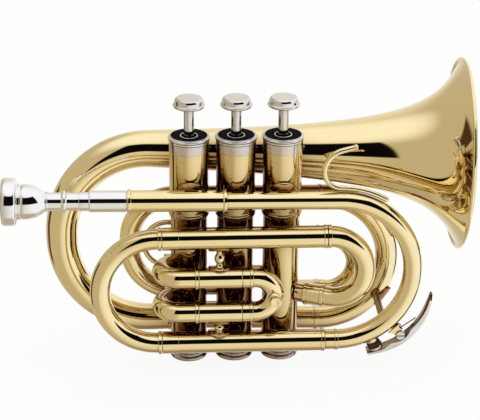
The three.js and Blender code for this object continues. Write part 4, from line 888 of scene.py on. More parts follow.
@dataclass
class Valve(Assembly):
    """A casing with its plated band and caps, and the stem, button and spring of its piston."""

    number: int
    shoulder_z: float = 88.4
    bead_r: float = 11.35
    band_height: float = 5.5
    cap_r: float = 11.83
    cap_height: float = 3.0
    felt_drop: float = 0.1
    recess: float = 1.6
    recess_r: float = 10.2
    lip_r: float = 5.0
    hole_r: float = 4.4
    bottom_r: float = 10.85
    bottom_height: float = 10.0
    stem_r: float = 2.9
    button_r: float = 8.95
    button_z: float = 151.9
    button_height: float = 5.6
    spring_r: float = 5.6
    spring_wire_r: float = 0.5
    spring_turns: int = 4
    spring_steps: int = 32
    spring_foot: float = 93.7
    spring_top: float = 123.2
    travel: float = 16.0

    def build(self) -> None:
        """Makes every piece of the valve."""
        self._casing()
        self._top_cap()
        self._bottom_cap()
        self._stem_and_button()
        self._spring()
        self.keep(f"piston_{self.number}", self.wardrobe.monel)
        self.keep(f"valve_guide_{self.number}", self.wardrobe.nylon)

    def _round(
        self,
        name: str,
        outline: Profile,
        finish: Dress,
        *nodes: str,
        sides: int = 96,
        loop: bool = True,
        body: Body = Body.HORN,
    ) -> None:
        """Makes a piece that is turned about the valve's axis.

        Args:
            name: The piece's name, to which the valve's number is added.
            outline: Pairs of radius and height.
            finish: Its finish.
            *nodes: The CAD nodes that it stands for, without the number.
            sides: Points round the axis.
            loop: Whether the outline closes on itself.
            body: The body that it rides on.
        """
        n = self.number
        skin = Skin().turned(outline, (LAYOUT.valve_x(n), 0, 0), sides=sides, loop=loop)
        Piece(f"{name}_{n}", skin, [finish], [f"{node}_{n}" for node in nodes], body).make()

    def _casing(self) -> None:
        """Makes the casing and its plated band."""
        low, high, bore = LAYOUT.casing_r, LAYOUT.casing_top_r, LAYOUT.bore_r
        top, z = LAYOUT.casing_top_z, self.shoulder_z
        seam = top - self.band_height
        outline: Profile = [(9.5, 2.9), (9.5, 10.3), (low - 0.15, 10.3), (low, 10.45), (low, z - 0.7)]
        outline += [(low + 0.45, z - 0.62), (self.bead_r - 0.35, z - 0.3)]
        outline += bead(z + 1.2, 1.2, self.bead_r - 0.35, 0.4)
        outline += [(high + 0.1, z + 2.9), (high, z + 3.1), (high, seam), (bore, seam), (bore, 2.9)]
        self._round("casing", outline, self.wardrobe.casing_brass, "valve_casing")
        edge: Profile = [(bore, seam + 0.02), (high + 0.12, seam + 0.02), (high + 0.2, seam + 0.12)]
        edge += [(high + 0.2, top - 0.1), (high + 0.1, top), (9.7, top), (9.7, top - 3.0), (bore, top - 3.0)]
        self._round("casing_band", edge, self.wardrobe.band)

    def _top_cap(self) -> None:
        """Makes the ringed cap and the felt in its recess."""
        base = LAYOUT.casing_top_z + LAYOUT.gap
        top = base + self.cap_height
        felt, floor = top - self.felt_drop, top - self.recess
        r, lip, recess, hole = self.cap_r, self.lip_r, self.recess_r, self.hole_r
        outline: Profile = [(hole, base), (8.4, base), (8.4, base - 6.0), (9.4, base - 6.0), (9.4, base)]
        outline += [(r - 0.5, base), (r - 0.36, base + 0.14), (r - 0.36, base + 0.9), (r - 0.5, base + 1.05)]
        outline += [(r - 0.7, base + 1.12), (r - 0.7, base + 1.26)]
        outline += bead(base + 1.95, 0.6, r - 0.45, 0.45, 12)
        outline += [(10.75, base + 2.57), (10.6, base + 2.68), (10.6, top - 0.08), (10.52, top)]
        outline += [(recess + 0.08, top), (recess, top - 0.08), (recess, floor), (lip, floor)]
        outline += [(lip, felt - 0.1), (lip - 0.1, felt), (hole + 0.1, felt), (hole, felt - 0.1)]
        self._round("top_cap_ringed", outline, self.wardrobe.nickel, "top_cap")
        inner, outer = lip + 0.2, recess - 0.15
        soft: Profile = [(inner, floor + 0.3), (outer, floor + 0.3), (outer, felt - 0.25)]
        soft += [(outer - 0.3, felt), (inner + 0.3, felt), (inner, felt - 0.25)]
        self._round("cap_felt_ring", soft, self.wardrobe.felt, "cap_felt", sides=72)

    def _bottom_cap(self) -> None:
        """Makes the bottom cap with its bead, neck and skirt."""
        r, h = self.bottom_r, self.bottom_height
        outline: Profile = [(0, 0.35), (6.6, 0.25), (7.4, 0), (9.7, 0), (10.25, 0.12)]
        outline += [*bead(1.45, 1.15, r - 0.55, 0.55), (r - 0.85, 2.9), (r - 0.85, 3.5)]
        outline += [*bead(4.25, 0.65, r - 0.6, 0.4), (r - 0.35, 5.0), (r - 0.25, 5.2)]
        outline += [(r - 0.25, h - 0.2), (r - 0.45, h), (9.8, h), (9.8, 2.6), (0, 2.6)]
        self._round("bottom_cap_ringed", outline, self.wardrobe.nickel, "bottom_cap", loop=False)

    def _stem_and_button(self) -> None:
        """Makes the stem and the flat-topped finger button."""
        body, nickel = Body[f"VALVE_{self.number}"], self.wardrobe.nickel
        top = self.button_z - LAYOUT.gap
        stem: Profile = [(0, 125.8), (3.9, 125.8), (3.9, 127.2), (self.stem_r, 127.3)]
        stem += [(self.stem_r, top), (0, top)]
        self._round("stem", stem, nickel, "valve_stem", sides=56, loop=False, body=body)
        r, z = self.button_r, self.button_z
        outline: Profile = [(0, z - 0.28), (3.1, z - 0.28), (3.3, z)]
        flank = [(0.85, 0), (0.9, 0.12), (0.95, 0.4), (0.985, 0.75), (1, 1.15), (1, 1.55), (0.985, 1.85)]
        flank += [(0.955, 2.04), (0.915, 2.14), (0.9, 2.26), (0.9, 3.7), (0.885, 4.25), (0.845, 4.95)]
        flank += [(0.8, 5.38), (0.74, 5.56), (0.66, self.button_height), (0, self.button_height)]
        outline += [(r * share, z + rise) for share, rise in flank]
        self._round("button", outline, nickel, "finger_button", sides=80, loop=False, body=body)

    def _spring(self) -> None:
        """Makes the coil spring on the guide."""
        n, x, wire = self.number, LAYOUT.valve_x(self.number), self.spring_wire_r
        count = self.spring_turns * self.spring_steps
        low, high = self.spring_foot + wire, self.spring_top - wire
        sections = []
        for i in range(count + 1):
            angle = 2 * math.pi * i / self.spring_steps
            outward = Vector((math.cos(angle), math.sin(angle), 0))
            place = Vector((x, 0, low + (high - low) * i / count)) + outward * self.spring_r
            sections.append(Section(place, outward, -UP, wire))
        skin = Skin().rings(sections, 12)
        piece = Piece(f"spring_wound_{n}", skin, [self.wardrobe.steel], [f"valve_spring_{n}"]).make()
        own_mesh(piece)


@dataclass
class ValveTubing(Assembly):
    """The short links between the casings, and the sleeves of the second and third slides."""

    link_heights: tuple[float, float] = (43.5, 50.0)
    link_spans: tuple[tuple[float, float], ...] = ((-16.1, -10.0), (10.0, 16.1))
    link_r: float = 5.4
    link_wall: float = 0.5
    third_turn_r: float = 6.85
    third_end_x: float = 50.0

    def build(self) -> None:
        """Makes the links and sleeves."""
        links = Skin()
        for z, (x0, x1) in zip(self.link_heights, self.link_spans):
            path = Path([(x0, 0, z), (x1, 0, z)])
            links.tube(path, [(0, self.link_r), (x1 - x0, self.link_r)], self.link_wall)
        self.brass("valve_links", links)
        r, rise, wall = LAYOUT.sleeve_r, LAYOUT.ring_rise, LAYOUT.sleeve_wall
        second = Skin()
        for z in LAYOUT.second_slide_z:
            second.tube(Path([(0, 9.9, z), (0, 24, z)]), [(0, r), *band(12.2, 14.1, r, rise)], wall)
        self.brass("second_slide_sleeves", second)
        third = Skin()
        x, y, bend = LAYOUT.valve_x(3), LAYOUT.third_slide_y, LAYOUT.bend_r
        for z in LAYOUT.third_slide_z:
            path = Path([(x, 9.6, z), (x, y, z), (self.third_end_x, y, z)], [self.third_turn_r])
            profile: Profile = [(0, bend), (11.6, bend), (11.62, r - 0.1), (11.8, r)]
            third.tube(path, [*profile, *band(path.length - 1.8, path.length, r, rise)], wall)
        self.brass("third_slide_sleeves", third)


@dataclass
class Mouthpiece(Assembly):
    """The cup mouthpiece with its rim, beads and tapered shank."""

    length: float = 88.0
    throat_r: float = 1.9

    def build(self) -> None:
        """Makes the mouthpiece."""
        rim: Profile = [(8.7, 0.45), (9.3, 0.1), (10.4, 0), (11.6, 0.12), (12.5, 0.55), (13.05, 1.3)]
        rim += [(13.3, 2.3), (13.3, 6.4), (13.1, 7.3), (12.6, 7.95), (11.6, 8.35), (10.2, 8.55), (9.95, 8.8)]
        rim += [(9.95, 10.1)]
        cup: Profile = [(9.7, 10.35), (9.25, 10.6), (9.3, 11.0), (9.6, 11.5), (9.72, 12.1), (9.75, 13.2)]
        cup += [(9.65, 14.8), (9.35, 16.4), (8.85, 18.0), (8.15, 19.6), (7.2, 21.2), (6.1, 22.7)]
        neck: Profile = [(5.25, 23.8), (5.15, 24.1), (5.55, 24.25), (5.75, 24.6), (5.7, 24.95), (5.15, 25.2)]
        neck += [(5.05, 25.5), (5.05, 32.6), (5.3, 32.75), (5.75, 33.2), (6.1, 33.9), (6.15, 34.4)]
        neck += [(6.05, 34.9), (5.6, 35.4), (5.1, 35.6), (4.9, 35.75), (4.9, 42.3), (5.15, 42.5)]
        shank: Profile = [(5.2, 42.8), (5.2, 47.7), (5.7, 47.95), (5.92, 48.3), (5.9, 68.0), (5.6, 68.3)]
        shank += [(5.15, 68.3), (4.85, self.length)]
        bore: Profile = [(4.2, self.length), (self.throat_r, 30.0), (self.throat_r, 18.0), (2.4, 15.2)]
        bore += [(3.4, 12.6), (4.9, 9.7), (6.3, 6.9), (7.3, 4.4), (7.95, 2.6), (8.35, 1.2)]
        outline = [*rim, *cup, *neck, *shank, *bore]
        skin = Skin().turned(outline, LAYOUT.lead_point(0), LAYOUT.lead_along(), sides=112, loop=True)
        Piece("mouthpiece_turned", skin, [self.wardrobe.silver], ["mouthpiece"], Body.MOUTHPIECE).make()


@dataclass
class LeadPipe(Assembly):
    """Receiver, leadpipe with its bow and nipple, and the finger hook on top."""

    pipe_r: float = 4.8
    pipe_start: float = 88.6
    bow_end_r: float = 5.7
    receiver_r: float = 6.0
    receiver_start: float = 68.6
    receiver_length: float = 54.9
    hook_r: float = 1.5
    hook_seat_r: float = 5.25
    hook_wrap_deg: float = 33.0
    hook_stem_x: float = 47.6
    hook_bend_z: float = 129.6
    hook_tip: tuple[float, float] = (65.8, 134.2)
    hook_bends: tuple[float, float] = (10.0, 13.0)

    def build(self) -> None:
        """Makes the receiver, the leadpipe and the hook."""
        self._receiver()
        self._pipe()
        self._hook()

    def _receiver(self) -> None:
        """Makes the ringed receiver."""
        r, end = self.receiver_r, self.receiver_length
        outer: Profile = [(5.45, 0), (6.1, 0), (6.5, 0.2), (6.65, 0.7), (6.65, 1.5), (6.45, 1.95)]
        outer += [(6.1, 2.05), (r, 2.2), (r, end - 2.2), (6.1, end - 2.05), (6.45, end - 1.95)]
        outer += [(6.65, end - 1.5), (6.65, end - 0.6), (6.45, end - 0.15), (5.9, end), (5.3, end)]
        outer += [(5.3, 19.7), (5.45, 19.5)]
        start = LAYOUT.lead_point(self.receiver_start)
        skin = Skin().turned(outer, start, LAYOUT.lead_along(), sides=72, loop=True)
        self.brass("receiver_ringed", skin, "mouthpiece_receiver")

    def line(self) -> Path:
        """Returns the leadpipe's centre line."""
        apex, y, low = LAYOUT.bow_x + LAYOUT.bow_r, LAYOUT.front_y, LAYOUT.main_lower_z
        start, along = LAYOUT.lead_point(0), LAYOUT.lead_along()
        corner = start + along * ((apex - start.x) / along.x)
        end = (LAYOUT.main_right_x + LAYOUT.gap, y, low)
        bends = [LAYOUT.bow_r, LAYOUT.bow_r]
        return Path([LAYOUT.lead_point(self.pipe_start), corner, (apex, y, low), end], bends)

    def _pipe(self) -> None:
        """Makes the leadpipe, its ferrule line and the drain nipple."""
        path = self.line()
        end, r = path.length, self.bow_end_r
        profile: Profile = [(0, self.pipe_r), (end - 7.4, r - 0.1)]
        profile += [*band(end - 7.3, end - 5.4, r, 0.35, 0.15), (end - 5.3, r), (end, r)]
        skin = Skin().tube(path, profile, sides=48, step_deg=2.5)
        angle = math.radians(LAYOUT.nipple_deg)
        nipple: Profile = [(3.4, 45.5), (3.4, 48.7), (3.25, 48.85), (1.7, 48.85), (1.6, 48.7), (1.6, 45.5)]
        skin.turned(nipple, LAYOUT.bow_centre(), (math.sin(angle), 0, -math.cos(angle)), sides=40, loop=True)
        self.brass("leadpipe_and_bow", skin, "leadpipe")

    def _hook(self) -> None:
        """Makes the finger hook: a rod that wraps the bow and curls up to a round tip."""
        lift = self.hook_seat_r + self.hook_r + 2 * LAYOUT.gap
        wrap_r, wrap = LAYOUT.bow_r + lift, math.radians(self.hook_wrap_deg)
        base, y = LAYOUT.leadpipe_end_z + lift, LAYOUT.front_y
        corners = [
            (LAYOUT.bow_x + wrap_r * math.sin(wrap), y, base - wrap_r * (1 - math.cos(wrap))),
            (LAYOUT.bow_x + wrap_r * math.tan(wrap / 2), y, base),
            (self.hook_stem_x, y, base),
            (self.hook_stem_x, y, self.hook_bend_z),
            (self.hook_tip[0], y, self.hook_tip[1]),
        ]
        path = Path(corners, [wrap_r, *self.hook_bends])
        end, r = path.length, self.hook_r
        profile: Profile = [(0, r * 0.25), (0.5, r * 0.72), (1.5, r), (end - 2.2, r), (end - 1.9, r * 1.12)]
        profile += [(end - 1.0, r * 1.2), (end - 0.35, r * 0.9), (end, r * 0.35)]
        self.brass("finger_hook_curled", Skin().tube(path, profile, sides=28), "finger_hook")


@dataclass
class MainTubes(Assembly):
    """The two main tubes, the tuning slide in them and the bow to the third valve."""

    sleeve_r: float = 6.4
    sleeve_length: float = 9.1
    wall: float = 0.6
    crook_r: float = 5.75
    crook_rise: float = 0.85
    crook_x: float = -44.4
    leg_r: float = 5.25
    leg_length: float = 58.0
    port_deg: float = -20.8
    port_z: float = 40.0
    port_r: float = 10.0
    bow_apex_x: float = 72.3
    bow_bend_r: float = 20.4

    def build(self) -> None:
        """Makes the tubes, the slide and the bow."""
        left, right, y = LAYOUT.main_left_x, LAYOUT.main_right_x, LAYOUT.front_y
        span, r, sleeve = right - left, LAYOUT.main_r, self.sleeve_r
        profile: Profile = [(0, sleeve - 0.12), (0.15, sleeve), (self.sleeve_length - 0.1, sleeve)]
        profile += [(self.sleeve_length, r), *band(span - 2.0, span, r, LAYOUT.ring_rise)]
        for name, z in (("main_tube_upper", LAYOUT.main_upper_z), ("main_tube_lower", LAYOUT.main_lower_z)):
            skin = Skin().tube(Path([(left, y, z), (right, y, z)]), profile, self.wall, sides=56)
            self.brass(f"{name}_ringed", skin, name)
        self._tuning_slide()
        self._third_valve_bow()

    def _tuning_slide(self) -> None:
        """Makes the crook with its ferrules and inner legs."""
        y, high, low = LAYOUT.front_y, LAYOUT.main_upper_z, LAYOUT.main_lower_z
        mouth, radius = LAYOUT.main_left_x - LAYOUT.gap, (high - low) / 2
        apex = self.crook_x - radius
        path = Path([(mouth, y, high), (apex, y, high), (apex, y, low), (mouth, y, low)], [radius, radius])
        end, r, rise = path.length, self.crook_r, self.crook_rise
        profile = [*band(0, 2.0, r, rise), (2.1, r), (end - 2.1, r), *band(end - 2.0, end, r, rise)]
        skin = Skin().tube(path, profile, sides=52, step_deg=2.5)
        for z in (high, low):
            leg = Path([(mouth, y, z), (mouth + self.leg_length, y, z)])
            skin.tube(leg, [(-0.5, self.leg_r), (self.leg_length, self.leg_r)], self.wall)
        self.brass("tuning_crook", skin, "tuning_slide", body=Body.TUNING_SLIDE)

    def _third_valve_bow(self) -> None:
        """Makes the bow that leads into the third valve, with the sleeve on its stub."""
        y, z, x3, apex = LAYOUT.front_y, LAYOUT.main_upper_z, LAYOUT.valve_x(3), self.bow_apex_x
        angle = math.radians(self.port_deg)
        stub, axis = Vector((math.cos(angle), math.sin(angle), 0)), Vector((x3, 0, self.port_z))
        reach = (apex - x3) / math.cos(angle)
        start, stop = (LAYOUT.main_right_x + LAYOUT.gap, y, z), axis + stub * self.port_r
        path = Path([start, (apex, y, z), axis + stub * reach, stop], [self.bow_bend_r, self.bow_bend_r])
        end = path.length
        profile: Profile = [*band(0, 1.9, 6.0, 0.62, 0.15), (2.0, 6.0), (end - 16.6, 5.75)]
        profile += [*band(end - 16.5, end - 14.7, 5.85, 0.75, 0.15), (end - 14.6, 6.2), (end - 6.8, 6.2)]
        profile += [*band(end - 6.7, end - 4.9, 5.85, 0.75, 0.15), (end - 4.8, 5.5), (end, 5.5)]
        self.brass("third_valve_bow", Skin().tube(path, profile, sides=48, step_deg=3.0), "valve_3_bow")


@dataclass
class ValveSlide(Assembly):
    """A valve slide's moving crook with its legs, rings and pull knob."""

    name: str
    body: Body
    mouths: tuple[Triple, Triple]
    out: Triple
    straight: float
    leg_length: float
    knob_at: Triple
    knob_along: Triple
    crook_r: float = 5.6
    leg_r: float = 5.0
    leg_wall: float = 0.6
    collar_r: float = 6.05
    collar_length: float = 4.1
    ring_length: float = 1.7

    def build(self) -> None:
        """Makes the crook and the knob."""
        upper, lower = Vector(self.mouths[0]), Vector(self.mouths[1])
        out, r = Vector(self.out), self.crook_r
        radius = (upper - lower).length / 2
        reach = out * (self.straight + radius)
        path = Path([upper, upper + reach, lower + reach, lower], [radius, radius])
        collar = min(self.collar_length, self.straight)
        profile: Profile = [(0, self.collar_r - 0.15), (0.15, self.collar_r), (collar - 0.05, self.collar_r)]
        if self.straight > self.collar_length + self.ring_length:
            profile += band(collar, collar + self.ring_length, r, 0.8)
            collar += self.ring_length
        profile += [(collar + 0.05, r)]
        profile += [(path.length - d, r) for d, r in reversed(profile)]
        skin = Skin().tube(path, profile, sides=44, step_deg=3.0)
        for mouth in (upper, lower):
            leg = Path([mouth - out * self.leg_length, mouth])
            skin.tube(leg, [(0, self.leg_r), (self.leg_length + 0.5, self.leg_r)], self.leg_wall)
        self.brass(f"{self.name}_bow", skin, f"{self.name}_crook", body=self.body)
        outline: Profile = [(0, -0.6), (3.4, -0.6), (3.45, 0.1), (3.3, 0.75), (2.9, 1.15), (2.45, 1.6)]
        outline += [(2.2, 2.3), (2.3, 2.9), (2.6, 3.3), (2.85, 3.6), (2.95, 3.9), (2.95, 5.0), (2.8, 5.35)]
        outline += [(2.4, 5.5), (1.9, 5.35), (1.2, 5.2), (0, 5.15)]
        knob = Skin().turned(outline, self.knob_at, self.knob_along, sides=48)
        self.brass(f"{self.name}_pull", knob, f"{self.name}_knob", body=self.body)


@dataclass
class FirstSlideTubes(Assembly):
    """The first slide's two outer tubes, which turn round from the casing's left side to the front."""

    start: float = 9.6
    sleeve_start_x: float = -23.4
    sleeve_end_x: float = 2.8

    def build(self) -> None:
        """Makes both tubes."""
        x1, y, r, bend = LAYOUT.valve_x(1), LAYOUT.slide_y, LAYOUT.sleeve_r, LAYOUT.bend_r
        radius = -y / 2
        apex = x1 - LAYOUT.casing_r - radius / 2
        for name, z in zip(("upper", "lower"), LAYOUT.first_slide_z):
            corners = [(x1 - self.start, 0, z), (apex, 0, z), (apex, y, z), (self.sleeve_end_x, y, z)]
            path = Path(corners, [radius, radius])
            end = path.length
            ring = end - (self.sleeve_end_x - self.sleeve_start_x)
            profile: Profile = [(0, bend), (ring - 0.1, bend), *band(ring, ring + 1.9, bend, 0.75)]
            profile += [(ring + 2.0, r - 0.1), (ring + 2.15, r), (end - 0.15, r), (end, r - 0.12)]
            skin = Skin().tube(path, profile, LAYOUT.sleeve_wall, sides=48, step_deg=3.0)
            self.brass(f"first_sleeve_{name}", skin, f"first_slide_{name}_tube")


@dataclass
class BellAndCoil(Assembly):
    """The bell with its wired rim, and the coil that its tail makes behind the valves."""

    tail: Triple = (-46.8, 29.7, 116.2)
    mouth: Triple = (130.1, 25.2, 112.7)
    pole_x: float = 144.3
    throat_r: float = 10.65
    power: float = 0.6224
    wall: float = 0.7
    wire_r: float = 1.3
    wire_steps: int = 16
    flare_steps: int = 56
    sides: int = 144
    tail_bow_x: float = -98.06
    tail_bow_bends: tuple[float, float] = (49.8, 50.3)
    overlap: float = 0.02
    coil_left: Triple = (-35.0, 22.5, 13.1)
    top_left: Triple = (-33.3, 19.0, 91.3)
    left_bow_x: float = -59.3
    left_bow_y: float = 18.0
    left_bow_z: float = 33.5
    left_bow_bends: Triple = (26.0, 26.0, 7.0)
    left_bow_r: float = 5.8

    def bell_radius(self, x: float) -> float:
        """Returns the bell's outer radius at a place along X."""
        return self.throat_r * ((self.pole_x - self.tail[0]) / (self.pole_x - x)) ** self.power

    def bell_axis(self, x: float) -> Vector:
        """Returns the point of the bell's leaning axis at a place along X."""
        tail, mouth = Vector(self.tail), Vector(self.mouth)
        return tail.lerp(mouth, (x - tail.x) / (mouth.x - tail.x))

    def build(self) -> None:
        """Makes the bell and the coil."""
        self._bell()
        self._bell_bow()
        self._coil()

    def _bell(self) -> None:
        """Makes the flared wall and the wire rolled into its rim."""
        tail = Vector(self.tail)
        along = (Vector(self.mouth) - tail).normalized()
        near, far = self.pole_x - self.mouth[0], self.pole_x - tail.x
        shares = [i / self.flare_steps for i in range(self.flare_steps + 1)]
        places = [self.pole_x - far * (near / far) ** share for share in shares]
        outer = [(self.bell_radius(x), (x - tail.x) / along.x) for x in places]
        inner = [(r - self.wall, d) for r, d in reversed(outer)]
        skin = Skin().turned([*outer, *inner], tail, along, sides=self.sides, loop=True)
        rim_r, rim_d = outer[-1]
        wire, r = turns(self.wire_steps), self.wire_r
        outline = [(rim_r + r * math.cos(a), rim_d + r * math.sin(a)) for a in wire]
        skin.turned(outline, tail, along, sides=self.sides, loop=True)
        Piece("bell_spun", skin, [self.wardrobe.bell_brass], ["bell"], sharp_deg=60.0).make()

    def _tube(self, name: str, path: Path, profile: Profile, node: str, step_deg: float = 2.5) -> None:
        """Makes one coil tube."""
        self.brass(name, Skin().tube(path, profile, sides=56, step_deg=step_deg), node)

    def _bell_bow(self) -> None:
        """Makes the wide bow on the left."""
        x, y, z = self.coil_left
        apex = self.tail_bow_x
        start = self.bell_axis(self.tail[0] - self.overlap)
        path = Path([start, self.bell_axis(apex), (apex, y, z), (x, y, z)], self.tail_bow_bends)
        end = path.length
        profile: Profile = [(0, self.throat_r), (end - 2.3, 7.55), *band(end - 2.2, end, 7.5, 0.4)]
        self._tube("bell_tail_bow", path, profile, "bell_bow")

    def _coil(self) -> None:
        """Makes the straight tubes and bows of the coil."""
        left, right = Vector(self.coil_left), Vector(LAYOUT.coil_right)
        r, bend, top_left = LAYOUT.coil_r, LAYOUT.coil_right_r, Vector(self.top_left)
        top_right = right + Vector((0, 0, 2 * bend))
        bottom = Path([left, right])
        end = bottom.length
        profile: Profile = [(0, 7.15), (end - 3.4, r), *band(end - 3.3, end - 1.3, r, 0.4), (end, r)]
        self._tube("coil_run_lower", bottom, profile, "coil_bottom_tube")
        apex = right.x + bend
        corners = [right, (apex, right.y, right.z), (apex, right.y, top_right.z), top_right]
        bow = Path(corners, [bend, bend])
        self._tube("coil_bow_right", bow, [(0, r), (bow.length, r)], "coil_right_bow")
        top = Path([top_right, top_left])
        end = top.length
        profile = [(0, r), *band(0.6, 2.6, 6.55, 0.4), (2.7, 6.5), (end - 2.4, 5.85)]
        profile += [*band(end - 2.3, end - 0.4, 5.85, 0.4), (end, self.left_bow_r)]
        self._tube("coil_run_upper", top, profile, "coil_top_tube")
        x1, x, y, z = LAYOUT.valve_x(1), self.left_bow_x, self.left_bow_y, self.left_bow_z
        corners = [top_left, (x, top_left.y, top_left.z), (x, y, z), (x1, y, z), (x1, 9.6, z)]
        small = Path(corners, self.left_bow_bends)
        r = self.left_bow_r
        self._tube("coil_bow_left", small, [(0, r), (small.length, r)], "coil_left_bow", 3.0)


@dataclass
class Braces(Assembly):
    """Soldered braces between the tubes, and the finger ring."""

    brace_x: float = -9.7
    saddle_r: float = 6.3
    saddle_narrow: float = 0.72
    leaf: float = 0.8
    leaf_seat: float = 0.12
    leaf_edge: float = 0.35
    leaf_dip: float = 0.15
    leaf_rings: int = 9
    leaf_sides: int = 56
    plate_r: float = 8.4
    leadpipe_r: float = 5.1
    bell_post_z: float = 113.3
    rod_deg: float = 33.0
    rod_lean_deg: float = 37.0
    rod_leaf_r: float = 7.2
    rod_narrow: float = 0.6
    ring_centre: Triple = (-37.8, 12.4, 64.5)
    ring_r: float = 13.35
    ring_steps: int = 96
    wire_r: float = 1.5

    def build(self) -> None:
        """Makes every brace and the ring."""
        x, y, slide_y = self.brace_x, LAYOUT.front_y, LAYOUT.slide_y
        slide_high, slide_low = (Vector((x, slide_y, z)) for z in LAYOUT.first_slide_z)
        main_high, main_low = (Vector((x, y, z)) for z in (LAYOUT.main_upper_z, LAYOUT.main_lower_z))
        self._post("slide_brace_upper", slide_high, LAYOUT.sleeve_r, main_high, LAYOUT.main_r)
        self._post("slide_brace_lower", main_low, LAYOUT.main_r, slide_low, LAYOUT.sleeve_r)
        self._plate("leadpipe_brace_left", 1, has_post=False)
        self._plate("leadpipe_brace_right", 3, has_post=True)
        self._bell_post()
        self._coil_rod()
        self._ring()

    def _dark_edged(self, name: str, skin: Skin, node: str) -> None:
        """Makes a brace with a darker brown brass edge round each leaf."""
        Piece(name, skin, [self.wardrobe.brass, self.wardrobe.dark_brass], [node]).make()

    def _leaf(
        self,
        skin: Skin,
        centre: Vector,
        axis: Vector,
        facing: Vector,
        tube_r: float,
        disc_r: float,
        narrow: float = 1.0,
    ) -> None:
        """Adds a thin round leaf that hugs a tube.

        Args:
            skin: The skin that takes it.
            centre: A point on the tube's axis under the leaf's middle.
            axis: The tube's direction.
            facing: The direction from the axis to the leaf's middle.
            tube_r: The tube's radius.
            disc_r: The leaf's radius, seen from its front.
            narrow: Its width across the tube as a share of its length along it.
        """
        side = facing.cross(axis)
        rings, sides = self.leaf_rings, self.leaf_sides
        low, high = tube_r + self.leaf_seat, tube_r + LAYOUT.gap + self.leaf
        first = len(skin.points)

        def row(reach: float, level: float) -> list[Vector]:
            """Returns the points of one ring, bent round the tube."""
            points = []
            for angle in turns(sides):
                u, v = reach * math.cos(angle), reach * narrow * math.sin(angle)
                around = max(-0.99, min(0.99, v / level))
                height = level * math.sqrt(1 - around * around)
                points.append(centre + axis * u + side * v + facing * height)
            return points

        steps = [disc_r * k / rings for k in range(1, rings)] + [disc_r - self.leaf_edge]
        rows = [*(row(reach, high) for reach in steps), row(disc_r, high - self.leaf_dip), row(disc_r, low)]
        for points in rows:
            skin.points += points
        hub = len(skin.points)
        skin.points.append(centre + facing * high)
        for k in range(sides):
            n = (k + 1) % sides
            skin.face((hub, first + k, first + n))
            for i in range(len(rows) - 1):
                a, b = first + i * sides, first + (i + 1) * sides
                skin.face((a + k, b + k, b + n, a + n), int(i >= rings - 1))
        skin.face(range(hub - 1, hub - sides - 1, -1))

    def _post(self, name: str, low: Vector, low_r: float, high: Vector, high_r: float) -> None:
        """Makes a waisted post with a leaf at each end.

        Args:
            name: The CAD node's name.
            low: A point on the lower tube's axis.
            low_r: The lower tube's radius.
            high: A point on the upper tube's axis.
            high_r: The upper tube's radius.
        """
        skin = Skin()
        along = (high - low).normalized()
        for place, facing, tube_r in ((low, along, low_r), (high, -along, high_r)):
            self._leaf(skin, place, RIGHT, facing, tube_r, self.saddle_r, self.saddle_narrow)
        start = low_r + 0.7
        span = (high - low).length - high_r - 0.7 - start
        shape = [(2.9, 0.0), (2.2, 0.05), (1.85, 0.12), (1.75, 0.2), (2.0, 0.24), (2.3, 0.28), (2.75, 0.38)]
        shape += [(3.0, 0.5), *((r, 1 - share) for r, share in reversed(shape))]
        skin.turned([(r, start + share * span) for r, share in shape], low, along, sides=48)
        self._dark_edged(f"{name}_waisted", skin, name)

    def _plate(self, name: str, number: int, has_post: bool) -> None:
        """Makes the round plate between a casing and the leadpipe.

        Args:
            name: The CAD node's name.
            number: The valve's number.
            has_post: Whether there is room for a short post in front of it.
        """
        x = LAYOUT.valve_x(number)
        z = LAYOUT.lead_point(x - LAYOUT.rim[0]).z
        skin, centre = Skin(), Vector((x, 0, z))
        self._leaf(skin, centre, UP, -BACK, LAYOUT.casing_top_r, self.plate_r)
        if has_post:
            reach = -LAYOUT.front_y - self.leadpipe_r
            post: Profile = [(3.3, 11.6), (2.9, 12.0), (2.8, reach - 0.3), (3.0, reach + 0.5)]
            skin.turned(post, centre, -BACK, sides=40)
        self._dark_edged(f"{name}_plate", skin, name)

    def _bell_post(self) -> None:
        """Makes the short flared post between the middle casing and the bell."""
        outline: Profile = [(4.6, 11.1), (3.6, 11.7), (3.2, 13.0), (3.4, 15.4), (4.2, 16.6)]
        skin = Skin().turned(outline, (0, 0, self.bell_post_z), BACK, sides=48)
        self.brass("bell_post", skin, "bell_brace")

    def _coil_rod(self) -> None:
        """Makes the disc on the coil's right bow and its rod forward to the leadpipe's bow."""
        angle, lean = math.radians(self.rod_deg), math.radians(self.rod_lean_deg)
        outward = Vector((math.cos(angle), 0, -math.sin(angle)))
        along = Vector((math.sin(angle), 0, math.cos(angle)))
        facing = outward * math.cos(lean) - BACK * math.sin(lean)
        x, y, z = LAYOUT.coil_right
        centre = Vector((x, y, z + LAYOUT.coil_right_r)) + outward * LAYOUT.coil_right_r
        skin = Skin()
        self._leaf(skin, centre, along, facing, LAYOUT.coil_r, self.rod_leaf_r, self.rod_narrow)
        middle = LAYOUT.bow_centre()
        to_rod = (Vector((centre.x, middle.y, centre.z)) - middle).normalized()
        run = middle + to_rod * LAYOUT.bow_r - centre
        end = run.length
        outline: Profile = [(3.2, 7.1), (2.6, 7.8), (2.1, 9.0), (2.1, end - 8.0), (2.7, end - 6.4)]
        outline += [(3.1, end - 5.4)]
        skin.turned(outline, centre, run, sides=36)
        dark = self.wardrobe.dark_brass
        Piece("coil_rod", skin, [dark, dark], ["coil_brace"]).make()

